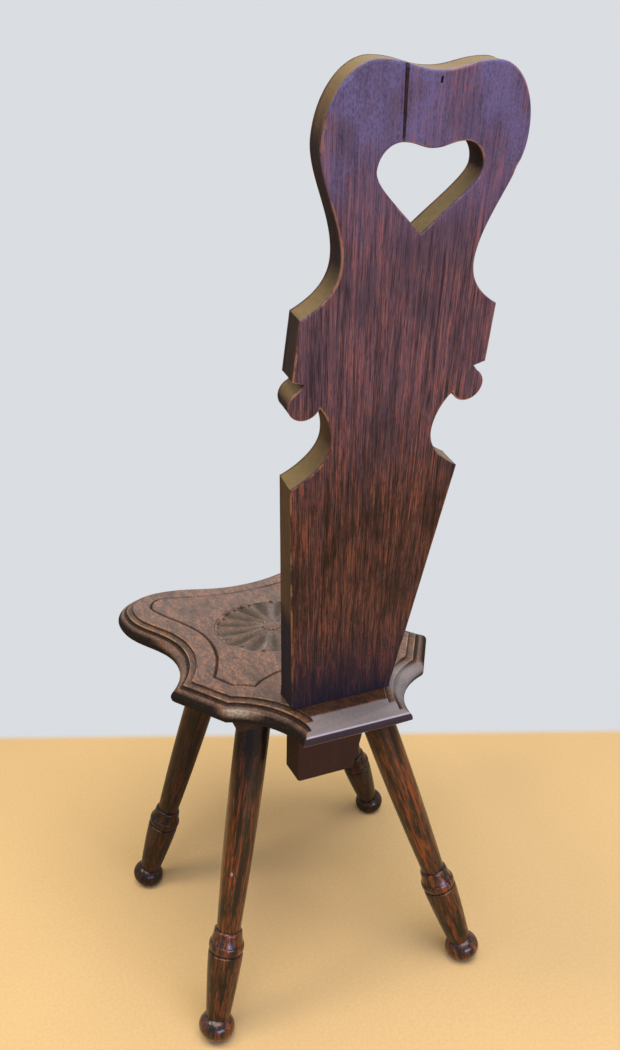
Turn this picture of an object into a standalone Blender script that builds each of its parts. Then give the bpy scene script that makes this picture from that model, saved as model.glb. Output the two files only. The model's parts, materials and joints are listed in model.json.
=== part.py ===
"""A spinning chair: a plank back with a heart hand-hold, a moulded seat board and four turned legs.

The plank's foot runs through the seat as a tenon. Two battens screwed under the seat stiffen it,
and the legs' round ends go through the battens and stop inside the seat.
The chair stands on z = 0 with its front towards -Y. Sizes are in metres.
"""
import math

import bmesh
import bpy
from mathutils import Vector

# Fits and fineness
CLEARANCE = 0.0003
WELD = 0.00001
SMOOTH_ANGLE = math.radians(35.0)

# How far a curve's handles reach, as a share of the stretch they steer
QUARTER_ROUND = 0.5523
EASY = 0.40
LONG = 0.45

# Seat board, seen from above, its outline given for the +X half
SEAT_HEIGHT = 0.410
FRONT_HOLLOW_Y = -0.1865
LOBE_X = 0.110
LOBE_FRONT_Y = -0.211
SIDE_X = 0.175
SIDE_Y = -0.149
WAIST_X = 0.1325
WAIST_Y = -0.012
FACET_FRONT_X = 0.157
FACET_FRONT_Y = 0.057
FACET_REAR_X = 0.1165
FACET_REAR_Y = 0.1215
REAR_HOLLOW_RADIUS = 0.090
REAR_CORNER_X = 0.0592
REAR_EDGE_Y = 0.2005
OUTLINE_STEPS = 9

# Seat moulding, from the top surface outwards
TIER_INSET = 0.020
TIER_DROP = 0.0026
LEDGE_WIDTH = 0.008
QUIRK_DROP = 0.0035
NOSE_RADIUS = 0.009
NOSE_STEPS = 6
UNDERSIDE_CHAMFER = 0.003
UNDERSIDE_STEP = 0.0019

# Rear end of the seat, where the moulding gives way to a sloping ledge
LEDGE_DROP = 0.008
LEDGE_RUN = 0.0235
REAR_FACE_HEIGHT = 0.0085
REAR_CHAMFER_RUN = 0.012

# Back board, each lift measured up its rear face from the place below it, the first from the seat's top
BACK_Y = 0.158
BACK_RAKE = math.radians(18.0)
BACK_FOOT_THICKNESS = 0.032
BACK_CREST_THICKNESS = 0.0195
BLADE_FOOT_HALF = 0.0545
SHOULDER_HALF = 0.0775
SHOULDER_RISE = 0.270
HOLLOW_HALF = 0.0455
HOLLOW_LIFT = 0.039
EAR_OUT = 0.026
EAR_LIFT = 0.0383
EAR_RADIUS = 0.0138
EAR_START_ANGLE = math.radians(199.6)
EAR_END_ANGLE = math.radians(422.0)
NOTCH_OUT = 0.002
NOTCH_LIFT = 0.0172
BLOCK_FOOT_HALF = 0.0832
BLOCK_FOOT_LIFT = 0.003
BLOCK_TOP_HALF = 0.0812
BLOCK_LIFT = 0.0485
NECK_HALF = 0.0537
NECK_LIFT = 0.037
HEAD_HALF = 0.077
HEAD_LIFT = 0.080
CREST_HALF = 0.042
CREST_LIFT = 0.0485
CREST_DIP = 0.0057
SHOULDER_BOW_X = 0.55
SHOULDER_BOW_Y = 0.23
CUSP_BOW_X = 0.62
CUSP_BOW_Y = 0.28
BLOCK_BOW_X = 0.69
BLOCK_BOW_Y = 0.27
NECK_EASE = 0.36
HEAD_EASE = 0.29
CURVE_STEPS = 7

# Heart-shaped hand-hold, cut a little off the board's middle, its drops measured from its lobes
HEART_OFFSET = -0.0052
HEART_TOP_WALL = 0.0483
HEART_DIP = 0.0042
HEART_LOBE_HALF = 0.024
HEART_HALF = 0.0402
HEART_SIDE_DROP = 0.0172
HEART_TIP_DROP = 0.0605
HEART_SIDE_EASE = 0.21
HEART_TIP_BOW_X = 0.60
HEART_TIP_BOW_Y = 0.52

# Tenon at the back board's foot, a little off the board's middle
TENON_LENGTH = 0.123
TENON_TOP_HALF = 0.0425
TENON_FOOT_HALF = 0.0335
TENON_OFFSET = 0.0045

# Battens under the seat
BATTEN_WIDTH = 0.084
BATTEN_THICKNESS = 0.018
BATTEN_HALF_LENGTH = 0.106
BATTEN_END_SLOPE = 0.0075

# Batten screws
SCREW_HALF_SPACING = 0.025
SCREW_LENGTH = 0.030
SCREW_SHANK_RADIUS = 0.0025
SCREW_HEAD_RADIUS = 0.005
SCREW_HEAD_HEIGHT = 0.003
SCREW_SIDES = 12

# Where the legs' axes meet the seat's underside, and where the feet stand
REAR_LEG_TOP_X = 0.0615
FRONT_LEG_TOP_X = 0.0572
FRONT_LEG_TOP_Y = -0.0842
REAR_FOOT_X = 0.1585
REAR_LEFT_FOOT_Y = 0.142
REAR_RIGHT_FOOT_Y = 0.149
FRONT_FOOT_X = 0.1785
FRONT_LEFT_FOOT_Y = -0.130
FRONT_RIGHT_FOOT_Y = -0.150
SOCKET_DEPTH = 0.010

# Turned leg, distances measured up its axis from the foot's middle
FOOT_RADIUS = 0.0206
FOOT_HALF_HEIGHT = 0.0160
FOOT_CENTRE_HEIGHT = 0.0140
ANKLE_RADIUS = 0.0137
CALF_RADIUS = 0.0200
CALF_TOP = 0.0887
CALF_CURVE = 1.35
GROOVE_RADIUS = 0.0182
GROOVE_WIDTH = 0.0026
BEAD_RADIUS = 0.0203
BEAD_HEIGHT = 0.0092
BEAD_NECK_RADIUS = 0.0188
COVE_HEIGHT = 0.0115
COLLAR_RADIUS = 0.0164
COLLAR_HEIGHT = 0.0035
SHAFT_FOOT_RADIUS = 0.0136
SHAFT_RADIUS = 0.0192
SHAFT_SWELL_TOP = 0.330
SHAFT_CURVE = 2.0
COVE_CURVE = 1.5
TURNED_STEPS = 24
SHAFT_RINGS = 7
COVE_RINGS = 3
BEAD_RINGS = 6
FOOT_RINGS = 9

# Finishes
SEAT_COLOUR = (0.150, 0.070, 0.040)
SEAT_ROUGHNESS = 0.42
BACK_COLOUR = (0.078, 0.029, 0.018)
BACK_ROUGHNESS = 0.40
LEG_COLOUR = (0.105, 0.031, 0.010)
LEG_ROUGHNESS = 0.25
BATTEN_COLOUR = (0.060, 0.034, 0.018)
BATTEN_ROUGHNESS = 0.60
SCREW_COLOUR = (0.180, 0.170, 0.160)
SCREW_ROUGHNESS = 0.45
SCREW_METALLIC = 0.9

# What follows from the sizes above
SEAT_THICKNESS = TIER_DROP + QUIRK_DROP + 2 * NOSE_RADIUS + UNDERSIDE_STEP
SEAT_UNDERSIDE = SEAT_HEIGHT - SEAT_THICKNESS
HOLLOW_RISE = SHOULDER_RISE + HOLLOW_LIFT
EAR_CENTRE_HALF = HOLLOW_HALF + EAR_OUT
EAR_CENTRE_RISE = HOLLOW_RISE + EAR_LIFT
NOTCH_RISE = EAR_CENTRE_RISE + NOTCH_LIFT
BLOCK_FOOT_RISE = NOTCH_RISE + BLOCK_FOOT_LIFT
BLOCK_TOP_RISE = BLOCK_FOOT_RISE + BLOCK_LIFT
NECK_RISE = BLOCK_TOP_RISE + NECK_LIFT
HEAD_RISE = NECK_RISE + HEAD_LIFT
CREST_RISE = HEAD_RISE + CREST_LIFT
HEART_LOBE_RISE = CREST_RISE - HEART_TOP_WALL
HEART_SIDE_RISE = HEART_LOBE_RISE - HEART_SIDE_DROP
HEART_TIP_RISE = HEART_LOBE_RISE - HEART_TIP_DROP
BATTEN_TOP = SEAT_UNDERSIDE - CLEARANCE
BATTEN_UNDERSIDE = BATTEN_TOP - BATTEN_THICKNESS
LEDGE_HEIGHT = SEAT_HEIGHT - LEDGE_DROP
BACK_DEPTH = BACK_FOOT_THICKNESS / math.cos(BACK_RAKE)
TENON_FRONT_Y = BACK_Y - (SEAT_HEIGHT - BATTEN_UNDERSIDE) * math.tan(BACK_RAKE) - BACK_DEPTH
REAR_BATTEN_Y = TENON_FRONT_Y - CLEARANCE - BATTEN_WIDTH / 2
CUTTER_REACH = 0.5


def clear_scene():
    for item in list(bpy.data.objects):
        bpy.data.objects.remove(item, do_unlink=True)


def new_collection(name):
    collection = bpy.data.collections.new(name)
    bpy.context.scene.collection.children.link(collection)
    return collection


def new_material(name, colour, roughness, metallic=0.0):
    material = bpy.data.materials.new(name)
    material.use_nodes = True
    shader = material.node_tree.nodes["Principled BSDF"]
    shader.inputs["Base Color"].default_value = (*colour, 1.0)
    shader.inputs["Roughness"].default_value = roughness
    shader.inputs["Metallic"].default_value = metallic
    return material


def new_object(name, mesh, collection, root):
    item = bpy.data.objects.new(name, mesh)
    collection.objects.link(item)
    item.parent = root
    return item


def as_cutter(item):
    item.hide_render = True
    item.display_type = "WIRE"
    return item


def cut(item, cutter, operation="DIFFERENCE"):
    boolean = item.modifiers.new(cutter.name, "BOOLEAN")
    boolean.operation = operation
    boolean.solver = "EXACT"
    boolean.object = cutter


def smooth(mesh):
    mesh.shade_smooth()
    mesh.set_sharp_from_angle(angle=SMOOTH_ANGLE)


def bezier_points(start, start_handle, end_handle, end, steps):
    """Points along a cubic curve, without its end point."""
    points = []
    for step in range(steps):
        t = step / steps
        u = 1.0 - t
        points.append(start * u**3 + start_handle * 3 * u * u * t + end_handle * 3 * u * t * t + end * t**3)
    return points


def arc_points(start, end, radius, steps):
    """Points along the shorter arc from start to end, its centre on the right, without its end point."""
    chord = end - start
    normal = Vector((chord.y, -chord.x)).normalized()
    centre = (start + end) / 2 + normal * math.sqrt(radius**2 - (chord.length / 2) ** 2)
    first = start - centre
    sweep = 2 * math.asin(chord.length / 2 / radius)
    points = []
    for step in range(steps):
        angle = -sweep * step / steps
        spoke = Vector((
            first.x * math.cos(angle) - first.y * math.sin(angle),
            first.x * math.sin(angle) + first.y * math.cos(angle)))
        points.append(centre + spoke)
    return points


def seat_outline():
    """The seat's widest outline, run on behind its rear edge so that the edge can be sawn square."""
    front = Vector((0.0, FRONT_HOLLOW_Y))
    lobe = Vector((LOBE_X, LOBE_FRONT_Y))
    side = Vector((SIDE_X, SIDE_Y))
    waist = Vector((WAIST_X, WAIST_Y))
    facet_front = Vector((FACET_FRONT_X, FACET_FRONT_Y))
    facet_rear = Vector((FACET_REAR_X, FACET_REAR_Y))
    rear = Vector((REAR_CORNER_X, REAR_EDGE_Y))
    run_on = rear + Vector((0.0, TIER_INSET + NOSE_RADIUS))
    front_reach = Vector((LOBE_X * LONG, 0.0))
    round_x = Vector(((SIDE_X - LOBE_X) * QUARTER_ROUND, 0.0))
    round_y = Vector((0.0, (SIDE_Y - LOBE_FRONT_Y) * QUARTER_ROUND))
    flank_reach = Vector((0.0, (WAIST_Y - SIDE_Y) * LONG))
    waist_span = facet_front - waist
    waist_radius = waist_span.length_squared / (2 * waist_span.x)
    half = bezier_points(front, front + front_reach, lobe - front_reach, lobe, OUTLINE_STEPS)
    half += bezier_points(lobe, lobe + round_x, side - round_y, side, OUTLINE_STEPS)
    half += bezier_points(side, side + flank_reach, waist - flank_reach, waist, OUTLINE_STEPS)
    half += arc_points(waist, facet_front, waist_radius, OUTLINE_STEPS)
    half += [facet_front]
    half += arc_points(facet_rear, rear, REAR_HOLLOW_RADIUS, OUTLINE_STEPS)
    half += [rear, run_on]
    mirrored = [Vector((-point.x, point.y)) for point in reversed(half[1:])]
    return half + mirrored


def inset_outline(outline, inset):
    """The outline moved inwards by the inset, with mitred corners that take in what would fold past them."""
    moved = []
    reach = []
    for index, point in enumerate(outline):
        before = (point - outline[index - 1]).normalized()
        after = (outline[(index + 1) % len(outline)] - point).normalized()
        normal_before = Vector((-before.y, before.x))
        normal_after = Vector((-after.y, after.x))
        mitre = (normal_before + normal_after) / (1.0 + normal_before.dot(normal_after))
        moved.append(point + mitre * inset)
        reach.append(mitre.length)
    for index, point in enumerate(outline):
        following = (index + 1) % len(outline)
        if (moved[following] - moved[index]).dot(outline[following] - point) < 0.0:
            sharper = max(index, following, key=lambda place: reach[place])
            moved[index] = moved[following] = moved[sharper]
    return moved


def seat_moulding():
    """The edge's section as (inset, height) pairs from the top surface down to the underside."""
    ledge_inset = TIER_INSET - LEDGE_WIDTH
    ledge_height = SEAT_HEIGHT - TIER_DROP
    nose_top = ledge_height - QUIRK_DROP
    section = [
        (TIER_INSET, SEAT_HEIGHT),
        (TIER_INSET, ledge_height),
        (ledge_inset, ledge_height),
        (ledge_inset, nose_top)]
    nose_height = nose_top - NOSE_RADIUS
    for step in range(NOSE_STEPS + 1):
        angle = math.pi / 2 - math.pi * step / NOSE_STEPS
        section.append((
            NOSE_RADIUS * (1.0 - math.cos(angle)),
            nose_height + NOSE_RADIUS * math.sin(angle)))
    section.append((NOSE_RADIUS + UNDERSIDE_CHAMFER, SEAT_UNDERSIDE))
    return section


def loft(name, rings, collection, root):
    """A closed solid through rings of equally many points, with flat ends."""
    shape = bmesh.new()
    rows = [[shape.verts.new(point) for point in ring] for ring in rings]
    for upper, lower in zip(rows, rows[1:]):
        for index in range(len(upper)):
            following = (index + 1) % len(upper)
            shape.faces.new((upper[index], lower[index], lower[following], upper[following]))
    shape.faces.new(rows[0])
    shape.faces.new(reversed(rows[-1]))
    bmesh.ops.remove_doubles(shape, verts=shape.verts, dist=WELD)
    bmesh.ops.recalc_face_normals(shape, faces=shape.faces)
    mesh = bpy.data.meshes.new(name)
    shape.to_mesh(mesh)
    shape.free()
    return new_object(name, mesh, collection, root)


def corner(x, y):
    point = Vector((x, y))
    return point, point, point


def through(x, y, into, out):
    """A smooth point of an outline with the handles that lead into it and out of it."""
    point = Vector((x, y))
    return point, point + Vector(into), point + Vector(out)


def mirrored_outline(half):
    """A closed outline from knots up the +X side, whose last knot may lie on the middle line."""
    knots = list(half)
    for point, into, out in reversed(half):
        if point.x > 0.0:
            knots.append(tuple(Vector((-place.x, place.y)) for place in (point, out, into)))
    return knots


def flat_board(name, outlines, thickness, collection, root):
    """A flat solid cut to closed outlines, as deep as the thickness about its own middle plane."""
    curve = bpy.data.curves.new(name, "CURVE")
    curve.dimensions = "2D"
    curve.fill_mode = "BOTH"
    curve.extrude = thickness / 2
    curve.resolution_u = CURVE_STEPS
    for knots in outlines:
        spline = curve.splines.new("BEZIER")
        spline.bezier_points.add(len(knots) - 1)
        spline.use_cyclic_u = True
        for place, (point, into, out) in zip(spline.bezier_points, knots):
            straight = into == point and out == point
            place.handle_left_type = "VECTOR" if straight else "FREE"
            place.handle_right_type = "VECTOR" if straight else "FREE"
            place.co = (*point, 0.0)
            place.handle_left = (*into, 0.0)
            place.handle_right = (*out, 0.0)
    return meshed_curve(name, curve, collection, root)


def flat_prism(name, corners, thickness, collection, root):
    """A straight-sided flat solid about its own middle plane."""
    curve = bpy.data.curves.new(name, "CURVE")
    curve.dimensions = "2D"
    curve.fill_mode = "BOTH"
    curve.extrude = thickness / 2
    spline = curve.splines.new("POLY")
    spline.points.add(len(corners) - 1)
    spline.use_cyclic_u = True
    for place, (x, y) in zip(spline.points, corners):
        place.co = (x, y, 0.0, 1.0)
    return meshed_curve(name, curve, collection, root)


def meshed_curve(name, curve, collection, root):
    drawn = new_object(name + "_drawn", curve, collection, root)
    evaluated = drawn.evaluated_get(bpy.context.evaluated_depsgraph_get())
    mesh = bpy.data.meshes.new_from_object(evaluated)
    mesh.name = name
    bpy.data.objects.remove(drawn, do_unlink=True)
    bpy.data.curves.remove(curve)
    shape = bmesh.new()
    shape.from_mesh(mesh)
    bmesh.ops.remove_doubles(shape, verts=shape.verts, dist=WELD)
    bmesh.ops.recalc_face_normals(shape, faces=shape.faces)
    shape.to_mesh(mesh)
    shape.free()
    return new_object(name, mesh, collection, root)


def turned(name, profile, collection, root, steps=TURNED_STEPS):
    """A turned solid from (radius, height) pairs that run from its top down to its foot."""
    mesh = bpy.data.meshes.new(name)
    edges = [(index, index + 1) for index in range(len(profile) - 1)]
    mesh.from_pydata([(radius, 0.0, height) for radius, height in profile], edges, [])
    item = new_object(name, mesh, collection, root)
    screw = item.modifiers.new("turn", "SCREW")
    screw.steps = steps
    screw.render_steps = steps
    screw.use_merge_vertices = True
    screw.merge_threshold = WELD
    screw.use_smooth_shade = True
    return item


def turn_across(item):
    """Stand a flat solid so that its drawing's x and y become the chair's x and z."""
    item.rotation_euler = (math.pi / 2, 0.0, 0.0)


def turn_along(item):
    """Stand a flat solid so that its drawing's x and y become the chair's y and z."""
    item.rotation_euler = (math.pi / 2, 0.0, math.pi / 2)


def lean_like_back(item):
    """Place a flat solid drawn on the back board's rear face, as deep as the board."""
    item.rotation_euler = (math.pi / 2 - BACK_RAKE, 0.0, 0.0)
    forward = Vector((0.0, -math.cos(BACK_RAKE), math.sin(BACK_RAKE)))
    item.location = Vector((0.0, BACK_Y, SEAT_HEIGHT)) + forward * BACK_FOOT_THICKNESS / 2


def tenon_half(height):
    """Half the tenon's width at a height on the chair."""
    slope = (TENON_TOP_HALF - TENON_FOOT_HALF) / (TENON_LENGTH * math.cos(BACK_RAKE))
    return TENON_TOP_HALF + (height - SEAT_HEIGHT) * slope


def ear_knots():
    """The round ear below the block: from the cusp, round its foot and side, to its upper end."""
    angles = [EAR_START_ANGLE, math.pi * 1.5, math.pi * 2, EAR_END_ANGLE]
    knots = []
    for index, angle in enumerate(angles):
        into = angles[index] - angles[index - 1] if index else 0.0
        out = angles[index + 1] - angles[index] if index + 1 < len(angles) else 0.0
        along = Vector((-math.sin(angle), math.cos(angle))) * EAR_RADIUS * 4 / 3
        knots.append(through(
            EAR_CENTRE_HALF + EAR_RADIUS * math.cos(angle),
            EAR_CENTRE_RISE + EAR_RADIUS * math.sin(angle),
            -along * math.tan(into / 4),
            along * math.tan(out / 4)))
    return knots


def back_outline():
    """The back board's outline from its foot up the +X side to the dip of its crest, then mirrored."""
    ears = ear_knots()
    cusp = ears[0][0]
    cusp_out = ears[0][2]
    hollow_down = HOLLOW_LIFT * EASY
    hollow_up = (cusp.y - HOLLOW_RISE) * EASY
    shoulder = Vector((SHOULDER_HALF, SHOULDER_RISE))
    shoulder_reach = Vector((
        (HOLLOW_HALF - SHOULDER_HALF) * SHOULDER_BOW_X,
        HOLLOW_LIFT * SHOULDER_BOW_Y))
    cusp_reach = Vector((
        (HOLLOW_HALF - cusp.x) * CUSP_BOW_X,
        (HOLLOW_RISE - cusp.y) * CUSP_BOW_Y))
    block = Vector((BLOCK_TOP_HALF, BLOCK_TOP_RISE))
    block_reach = Vector((
        (NECK_HALF - BLOCK_TOP_HALF) * BLOCK_BOW_X,
        NECK_LIFT * BLOCK_BOW_Y))
    neck_down = NECK_LIFT * EASY
    neck_up = HEAD_LIFT * NECK_EASE
    head_down = HEAD_LIFT * HEAD_EASE
    head_up = CREST_LIFT * QUARTER_ROUND
    crest_out = (HEAD_HALF - CREST_HALF) * QUARTER_ROUND
    half = [
        corner(BLADE_FOOT_HALF, -TENON_LENGTH),
        corner(BLADE_FOOT_HALF, 0.0),
        (shoulder, shoulder, shoulder + shoulder_reach),
        through(HOLLOW_HALF, HOLLOW_RISE, (0.0, -hollow_down), (0.0, hollow_up)),
        (cusp, cusp + cusp_reach, cusp_out)]
    half += ears[1:]
    half += [
        corner(EAR_CENTRE_HALF + NOTCH_OUT, NOTCH_RISE),
        corner(BLOCK_FOOT_HALF, BLOCK_FOOT_RISE),
        (block, block, block + block_reach),
        through(NECK_HALF, NECK_RISE, (0.0, -neck_down), (0.0, neck_up)),
        through(HEAD_HALF, HEAD_RISE, (0.0, -head_down), (0.0, head_up)),
        through(CREST_HALF, CREST_RISE, (crest_out, 0.0), (-CREST_HALF * LONG, 0.0)),
        through(0.0, CREST_RISE - CREST_DIP, (CREST_HALF * EASY, 0.0), (-CREST_HALF * EASY, 0.0))]
    return mirrored_outline(half)


def heart_outline():
    """The hand-hold: a wide heart with a shallow dip and almost straight lower sides."""
    lobe_reach = (HEART_HALF - HEART_LOBE_HALF) * QUARTER_ROUND
    side_up = HEART_SIDE_DROP * QUARTER_ROUND
    side_down = (HEART_SIDE_RISE - HEART_TIP_RISE) * HEART_SIDE_EASE
    dip_reach = HEART_LOBE_HALF * EASY
    tip = Vector((0.0, HEART_TIP_RISE))
    tip_reach = Vector((
        HEART_HALF * HEART_TIP_BOW_X,
        (HEART_SIDE_RISE - HEART_TIP_RISE) * HEART_TIP_BOW_Y))
    half = [
        through(HEART_HALF, HEART_SIDE_RISE, (0.0, -side_down), (0.0, side_up)),
        through(HEART_LOBE_HALF, HEART_LOBE_RISE, (lobe_reach, 0.0), (-HEART_LOBE_HALF * LONG, 0.0)),
        through(0.0, HEART_LOBE_RISE - HEART_DIP, (dip_reach, 0.0), (-dip_reach, 0.0))]
    mirrored_tip = tip + Vector((-tip_reach.x, tip_reach.y))
    knots = mirrored_outline(half) + [(tip, mirrored_tip, tip + tip_reach)]
    return [tuple(place + Vector((HEART_OFFSET, 0.0)) for place in knot) for knot in knots]


def leg_profile(length):
    """The turned leg from its flat upper end down to the ball foot, as (radius, height) pairs."""
    shaft_foot = CALF_TOP + GROOVE_WIDTH + BEAD_HEIGHT + COVE_HEIGHT + COLLAR_HEIGHT
    cove_top = shaft_foot - COLLAR_HEIGHT
    bead_top = cove_top - COVE_HEIGHT
    groove_top = bead_top - BEAD_HEIGHT
    profile = [(0.0, length), (SHAFT_RADIUS, length)]
    for step in range(SHAFT_RINGS + 1):
        share = step / SHAFT_RINGS
        height = SHAFT_SWELL_TOP + (shaft_foot - SHAFT_SWELL_TOP) * share
        profile.append((SHAFT_RADIUS + (SHAFT_FOOT_RADIUS - SHAFT_RADIUS) * share**SHAFT_CURVE, height))
    for step in range(1, COVE_RINGS + 1):
        angle = math.pi / 2 * (1.0 - step / COVE_RINGS)
        profile.append((
            SHAFT_FOOT_RADIUS + (COLLAR_RADIUS - SHAFT_FOOT_RADIUS) * math.cos(angle),
            cove_top + COLLAR_HEIGHT * math.sin(angle)))
    for step in range(1, COVE_RINGS + 1):
        share = step / COVE_RINGS
        profile.append((
            COLLAR_RADIUS + (BEAD_NECK_RADIUS - COLLAR_RADIUS) * share**COVE_CURVE,
            cove_top + (bead_top - cove_top) * share))
    bead_middle = (bead_top + groove_top) / 2
    for step in range(1, BEAD_RINGS):
        angle = math.pi / 2 - math.pi * step / BEAD_RINGS
        profile.append((
            BEAD_NECK_RADIUS + (BEAD_RADIUS - BEAD_NECK_RADIUS) * math.cos(angle),
            bead_middle + BEAD_HEIGHT / 2 * math.sin(angle)))
    profile += [(BEAD_NECK_RADIUS, groove_top), (GROOVE_RADIUS, groove_top)]
    profile.append((GROOVE_RADIUS, CALF_TOP))
    ankle = FOOT_HALF_HEIGHT * math.sqrt(1.0 - (ANKLE_RADIUS / FOOT_RADIUS) ** 2)
    for step in range(BEAD_RINGS):
        share = step / BEAD_RINGS
        profile.append((
            CALF_RADIUS + (ANKLE_RADIUS - CALF_RADIUS) * share**CALF_CURVE,
            CALF_TOP + (ankle - CALF_TOP) * share))
    ankle_angle = math.asin(ankle / FOOT_HALF_HEIGHT)
    for step in range(FOOT_RINGS + 1):
        angle = ankle_angle - (ankle_angle + math.pi / 2) * step / FOOT_RINGS
        profile.append((FOOT_RADIUS * math.cos(angle), FOOT_HALF_HEIGHT * math.sin(angle)))
    profile[-1] = (0.0, -FOOT_HALF_HEIGHT)
    return profile


def screw_profile():
    """A countersunk screw from its tip down to its head's face."""
    return [
        (0.0, SCREW_LENGTH),
        (SCREW_SHANK_RADIUS, SCREW_LENGTH),
        (SCREW_SHANK_RADIUS, SCREW_HEAD_HEIGHT),
        (SCREW_HEAD_RADIUS, 0.0),
        (0.0, 0.0)]


def screw_hole_profile():
    """The hole and countersink for a screw, open below the batten."""
    tip = SCREW_LENGTH + CLEARANCE
    bore = SCREW_SHANK_RADIUS + CLEARANCE
    sink = SCREW_HEAD_RADIUS + 2 * CLEARANCE
    return [
        (0.0, tip),
        (bore, tip),
        (bore, SCREW_HEAD_HEIGHT + CLEARANCE),
        (sink, 0.0),
        (sink, -SCREW_HEAD_HEIGHT),
        (0.0, -SCREW_HEAD_HEIGHT)]


def make_seat(parts, root):
    outline = seat_outline()
    rings = [
        [(point.x, point.y, height) for point in inset_outline(outline, inset)]
        for inset, height in seat_moulding()]
    return loft("seat_board", rings, parts, root)


def seat_end_cutters(cutters, root):
    """The saw cut behind the seat with its chamfer below, and the sloping ledge behind the back."""
    above = SEAT_HEIGHT + SEAT_THICKNESS
    beyond = REAR_EDGE_Y + CUTTER_REACH
    face_foot = LEDGE_HEIGHT - REAR_FACE_HEIGHT
    chamfer_y = REAR_EDGE_Y - REAR_CHAMFER_RUN
    rear = flat_prism("rear_saw_cut", [
        (REAR_EDGE_Y, above),
        (REAR_EDGE_Y, face_foot),
        (chamfer_y, SEAT_UNDERSIDE),
        (chamfer_y, SEAT_UNDERSIDE - SEAT_THICKNESS),
        (beyond, SEAT_UNDERSIDE - SEAT_THICKNESS),
        (beyond, above)], CUTTER_REACH, cutters, root)
    slope = LEDGE_DROP / LEDGE_RUN
    ledge = flat_prism("rear_ledge_cut", [
        (REAR_EDGE_Y - LEDGE_RUN - SEAT_THICKNESS / slope, above),
        (beyond, LEDGE_HEIGHT - CUTTER_REACH * slope),
        (beyond, above)], CUTTER_REACH, cutters, root)
    for cutter in (rear, ledge):
        turn_along(cutter)
    return [as_cutter(rear), as_cutter(ledge)]


def on_back(rise, depth):
    """The chair's y and z at a rise up the back board and a depth forward of its rear face."""
    return (
        BACK_Y + rise * math.sin(BACK_RAKE) - depth * math.cos(BACK_RAKE),
        SEAT_HEIGHT + rise * math.cos(BACK_RAKE) + depth * math.sin(BACK_RAKE))


def taper_cutter(cutters, root):
    """What is planed off the back board's front so that it thins towards its crest."""
    beyond = BACK_FOOT_THICKNESS + CUTTER_REACH
    thinning = (BACK_FOOT_THICKNESS - BACK_CREST_THICKNESS) / CREST_RISE
    top = CREST_RISE + BACK_FOOT_THICKNESS
    cutter = flat_prism("back_taper_cut", [
        on_back(0.0, BACK_FOOT_THICKNESS),
        on_back(top, BACK_FOOT_THICKNESS - thinning * top),
        on_back(top, beyond),
        on_back(0.0, beyond)], CUTTER_REACH, cutters, root)
    turn_along(cutter)
    return as_cutter(cutter)


def make_back(parts, cutters, root):
    """The back board, sawn at both sides of its foot to leave the tenon and its level shoulders."""
    board = flat_board("back_board", [back_outline(), heart_outline()], BACK_FOOT_THICKNESS, parts, root)
    lean_like_back(board)
    cut(board, taper_cutter(cutters, root))
    shoulder = SEAT_HEIGHT + CLEARANCE
    below = SEAT_HEIGHT - 2 * TENON_LENGTH
    for side, name in ((1, "left_shoulder_cut"), (-1, "right_shoulder_cut")):
        cutter = flat_prism(name, [
            (TENON_OFFSET + side * tenon_half(shoulder), shoulder),
            (side * CUTTER_REACH, shoulder),
            (side * CUTTER_REACH, below),
            (TENON_OFFSET + side * tenon_half(below), below)], 2 * CUTTER_REACH, cutters, root)
        turn_across(cutter)
        cut(board, as_cutter(cutter))
    return board


def mortise_cutter(cutters, root):
    """The slot for the tenon: a leaning slab as thick as the board, with the tenon's tapered sides."""
    reach = 2 * SEAT_THICKNESS
    slab = flat_prism("mortise_cut", [
        (-CUTTER_REACH, -reach),
        (CUTTER_REACH, -reach),
        (CUTTER_REACH, reach),
        (-CUTTER_REACH, reach)], BACK_FOOT_THICKNESS + 2 * CLEARANCE, cutters, root)
    lean_like_back(slab)
    top = SEAT_HEIGHT + 3 * reach
    foot = SEAT_HEIGHT - 3 * reach
    sides = flat_prism("mortise_sides", [
        (TENON_OFFSET - tenon_half(top) - CLEARANCE, top),
        (TENON_OFFSET - tenon_half(foot) - CLEARANCE, foot),
        (TENON_OFFSET + tenon_half(foot) + CLEARANCE, foot),
        (TENON_OFFSET + tenon_half(top) + CLEARANCE, top)], 2 * CUTTER_REACH, cutters, root)
    turn_across(sides)
    cut(slab, as_cutter(sides), "INTERSECT")
    return as_cutter(slab)


def make_batten(name, middle_y, parts, root):
    """A batten with ends sloped back towards its underside."""
    foot_half = BATTEN_HALF_LENGTH - BATTEN_END_SLOPE
    batten = flat_prism(name, [
        (-BATTEN_HALF_LENGTH, BATTEN_TOP),
        (-foot_half, BATTEN_UNDERSIDE),
        (foot_half, BATTEN_UNDERSIDE),
        (BATTEN_HALF_LENGTH, BATTEN_TOP)], BATTEN_WIDTH, parts, root)
    turn_across(batten)
    batten.location.y = middle_y
    return batten


def make_leg(name, top, foot, floor, parts, cutters, root):
    """A leg along the line from its foot to the seat, with the socket that takes its upper end."""
    axis = top - foot
    length = axis.length + SOCKET_DEPTH
    leg = turned(name, leg_profile(length), parts, root)
    socket_foot = length - SOCKET_DEPTH - 3 * BATTEN_THICKNESS
    socket = turned(name + "_socket", [
        (0.0, length + CLEARANCE),
        (SHAFT_RADIUS + CLEARANCE, length + CLEARANCE),
        (SHAFT_RADIUS + CLEARANCE, socket_foot),
        (0.0, socket_foot)], cutters, root)
    for item in (leg, socket):
        item.location = foot
        item.rotation_mode = "QUATERNION"
        item.rotation_quaternion = axis.to_track_quat("Z", "Y")
    cut(leg, floor)
    return leg, as_cutter(socket)


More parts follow.
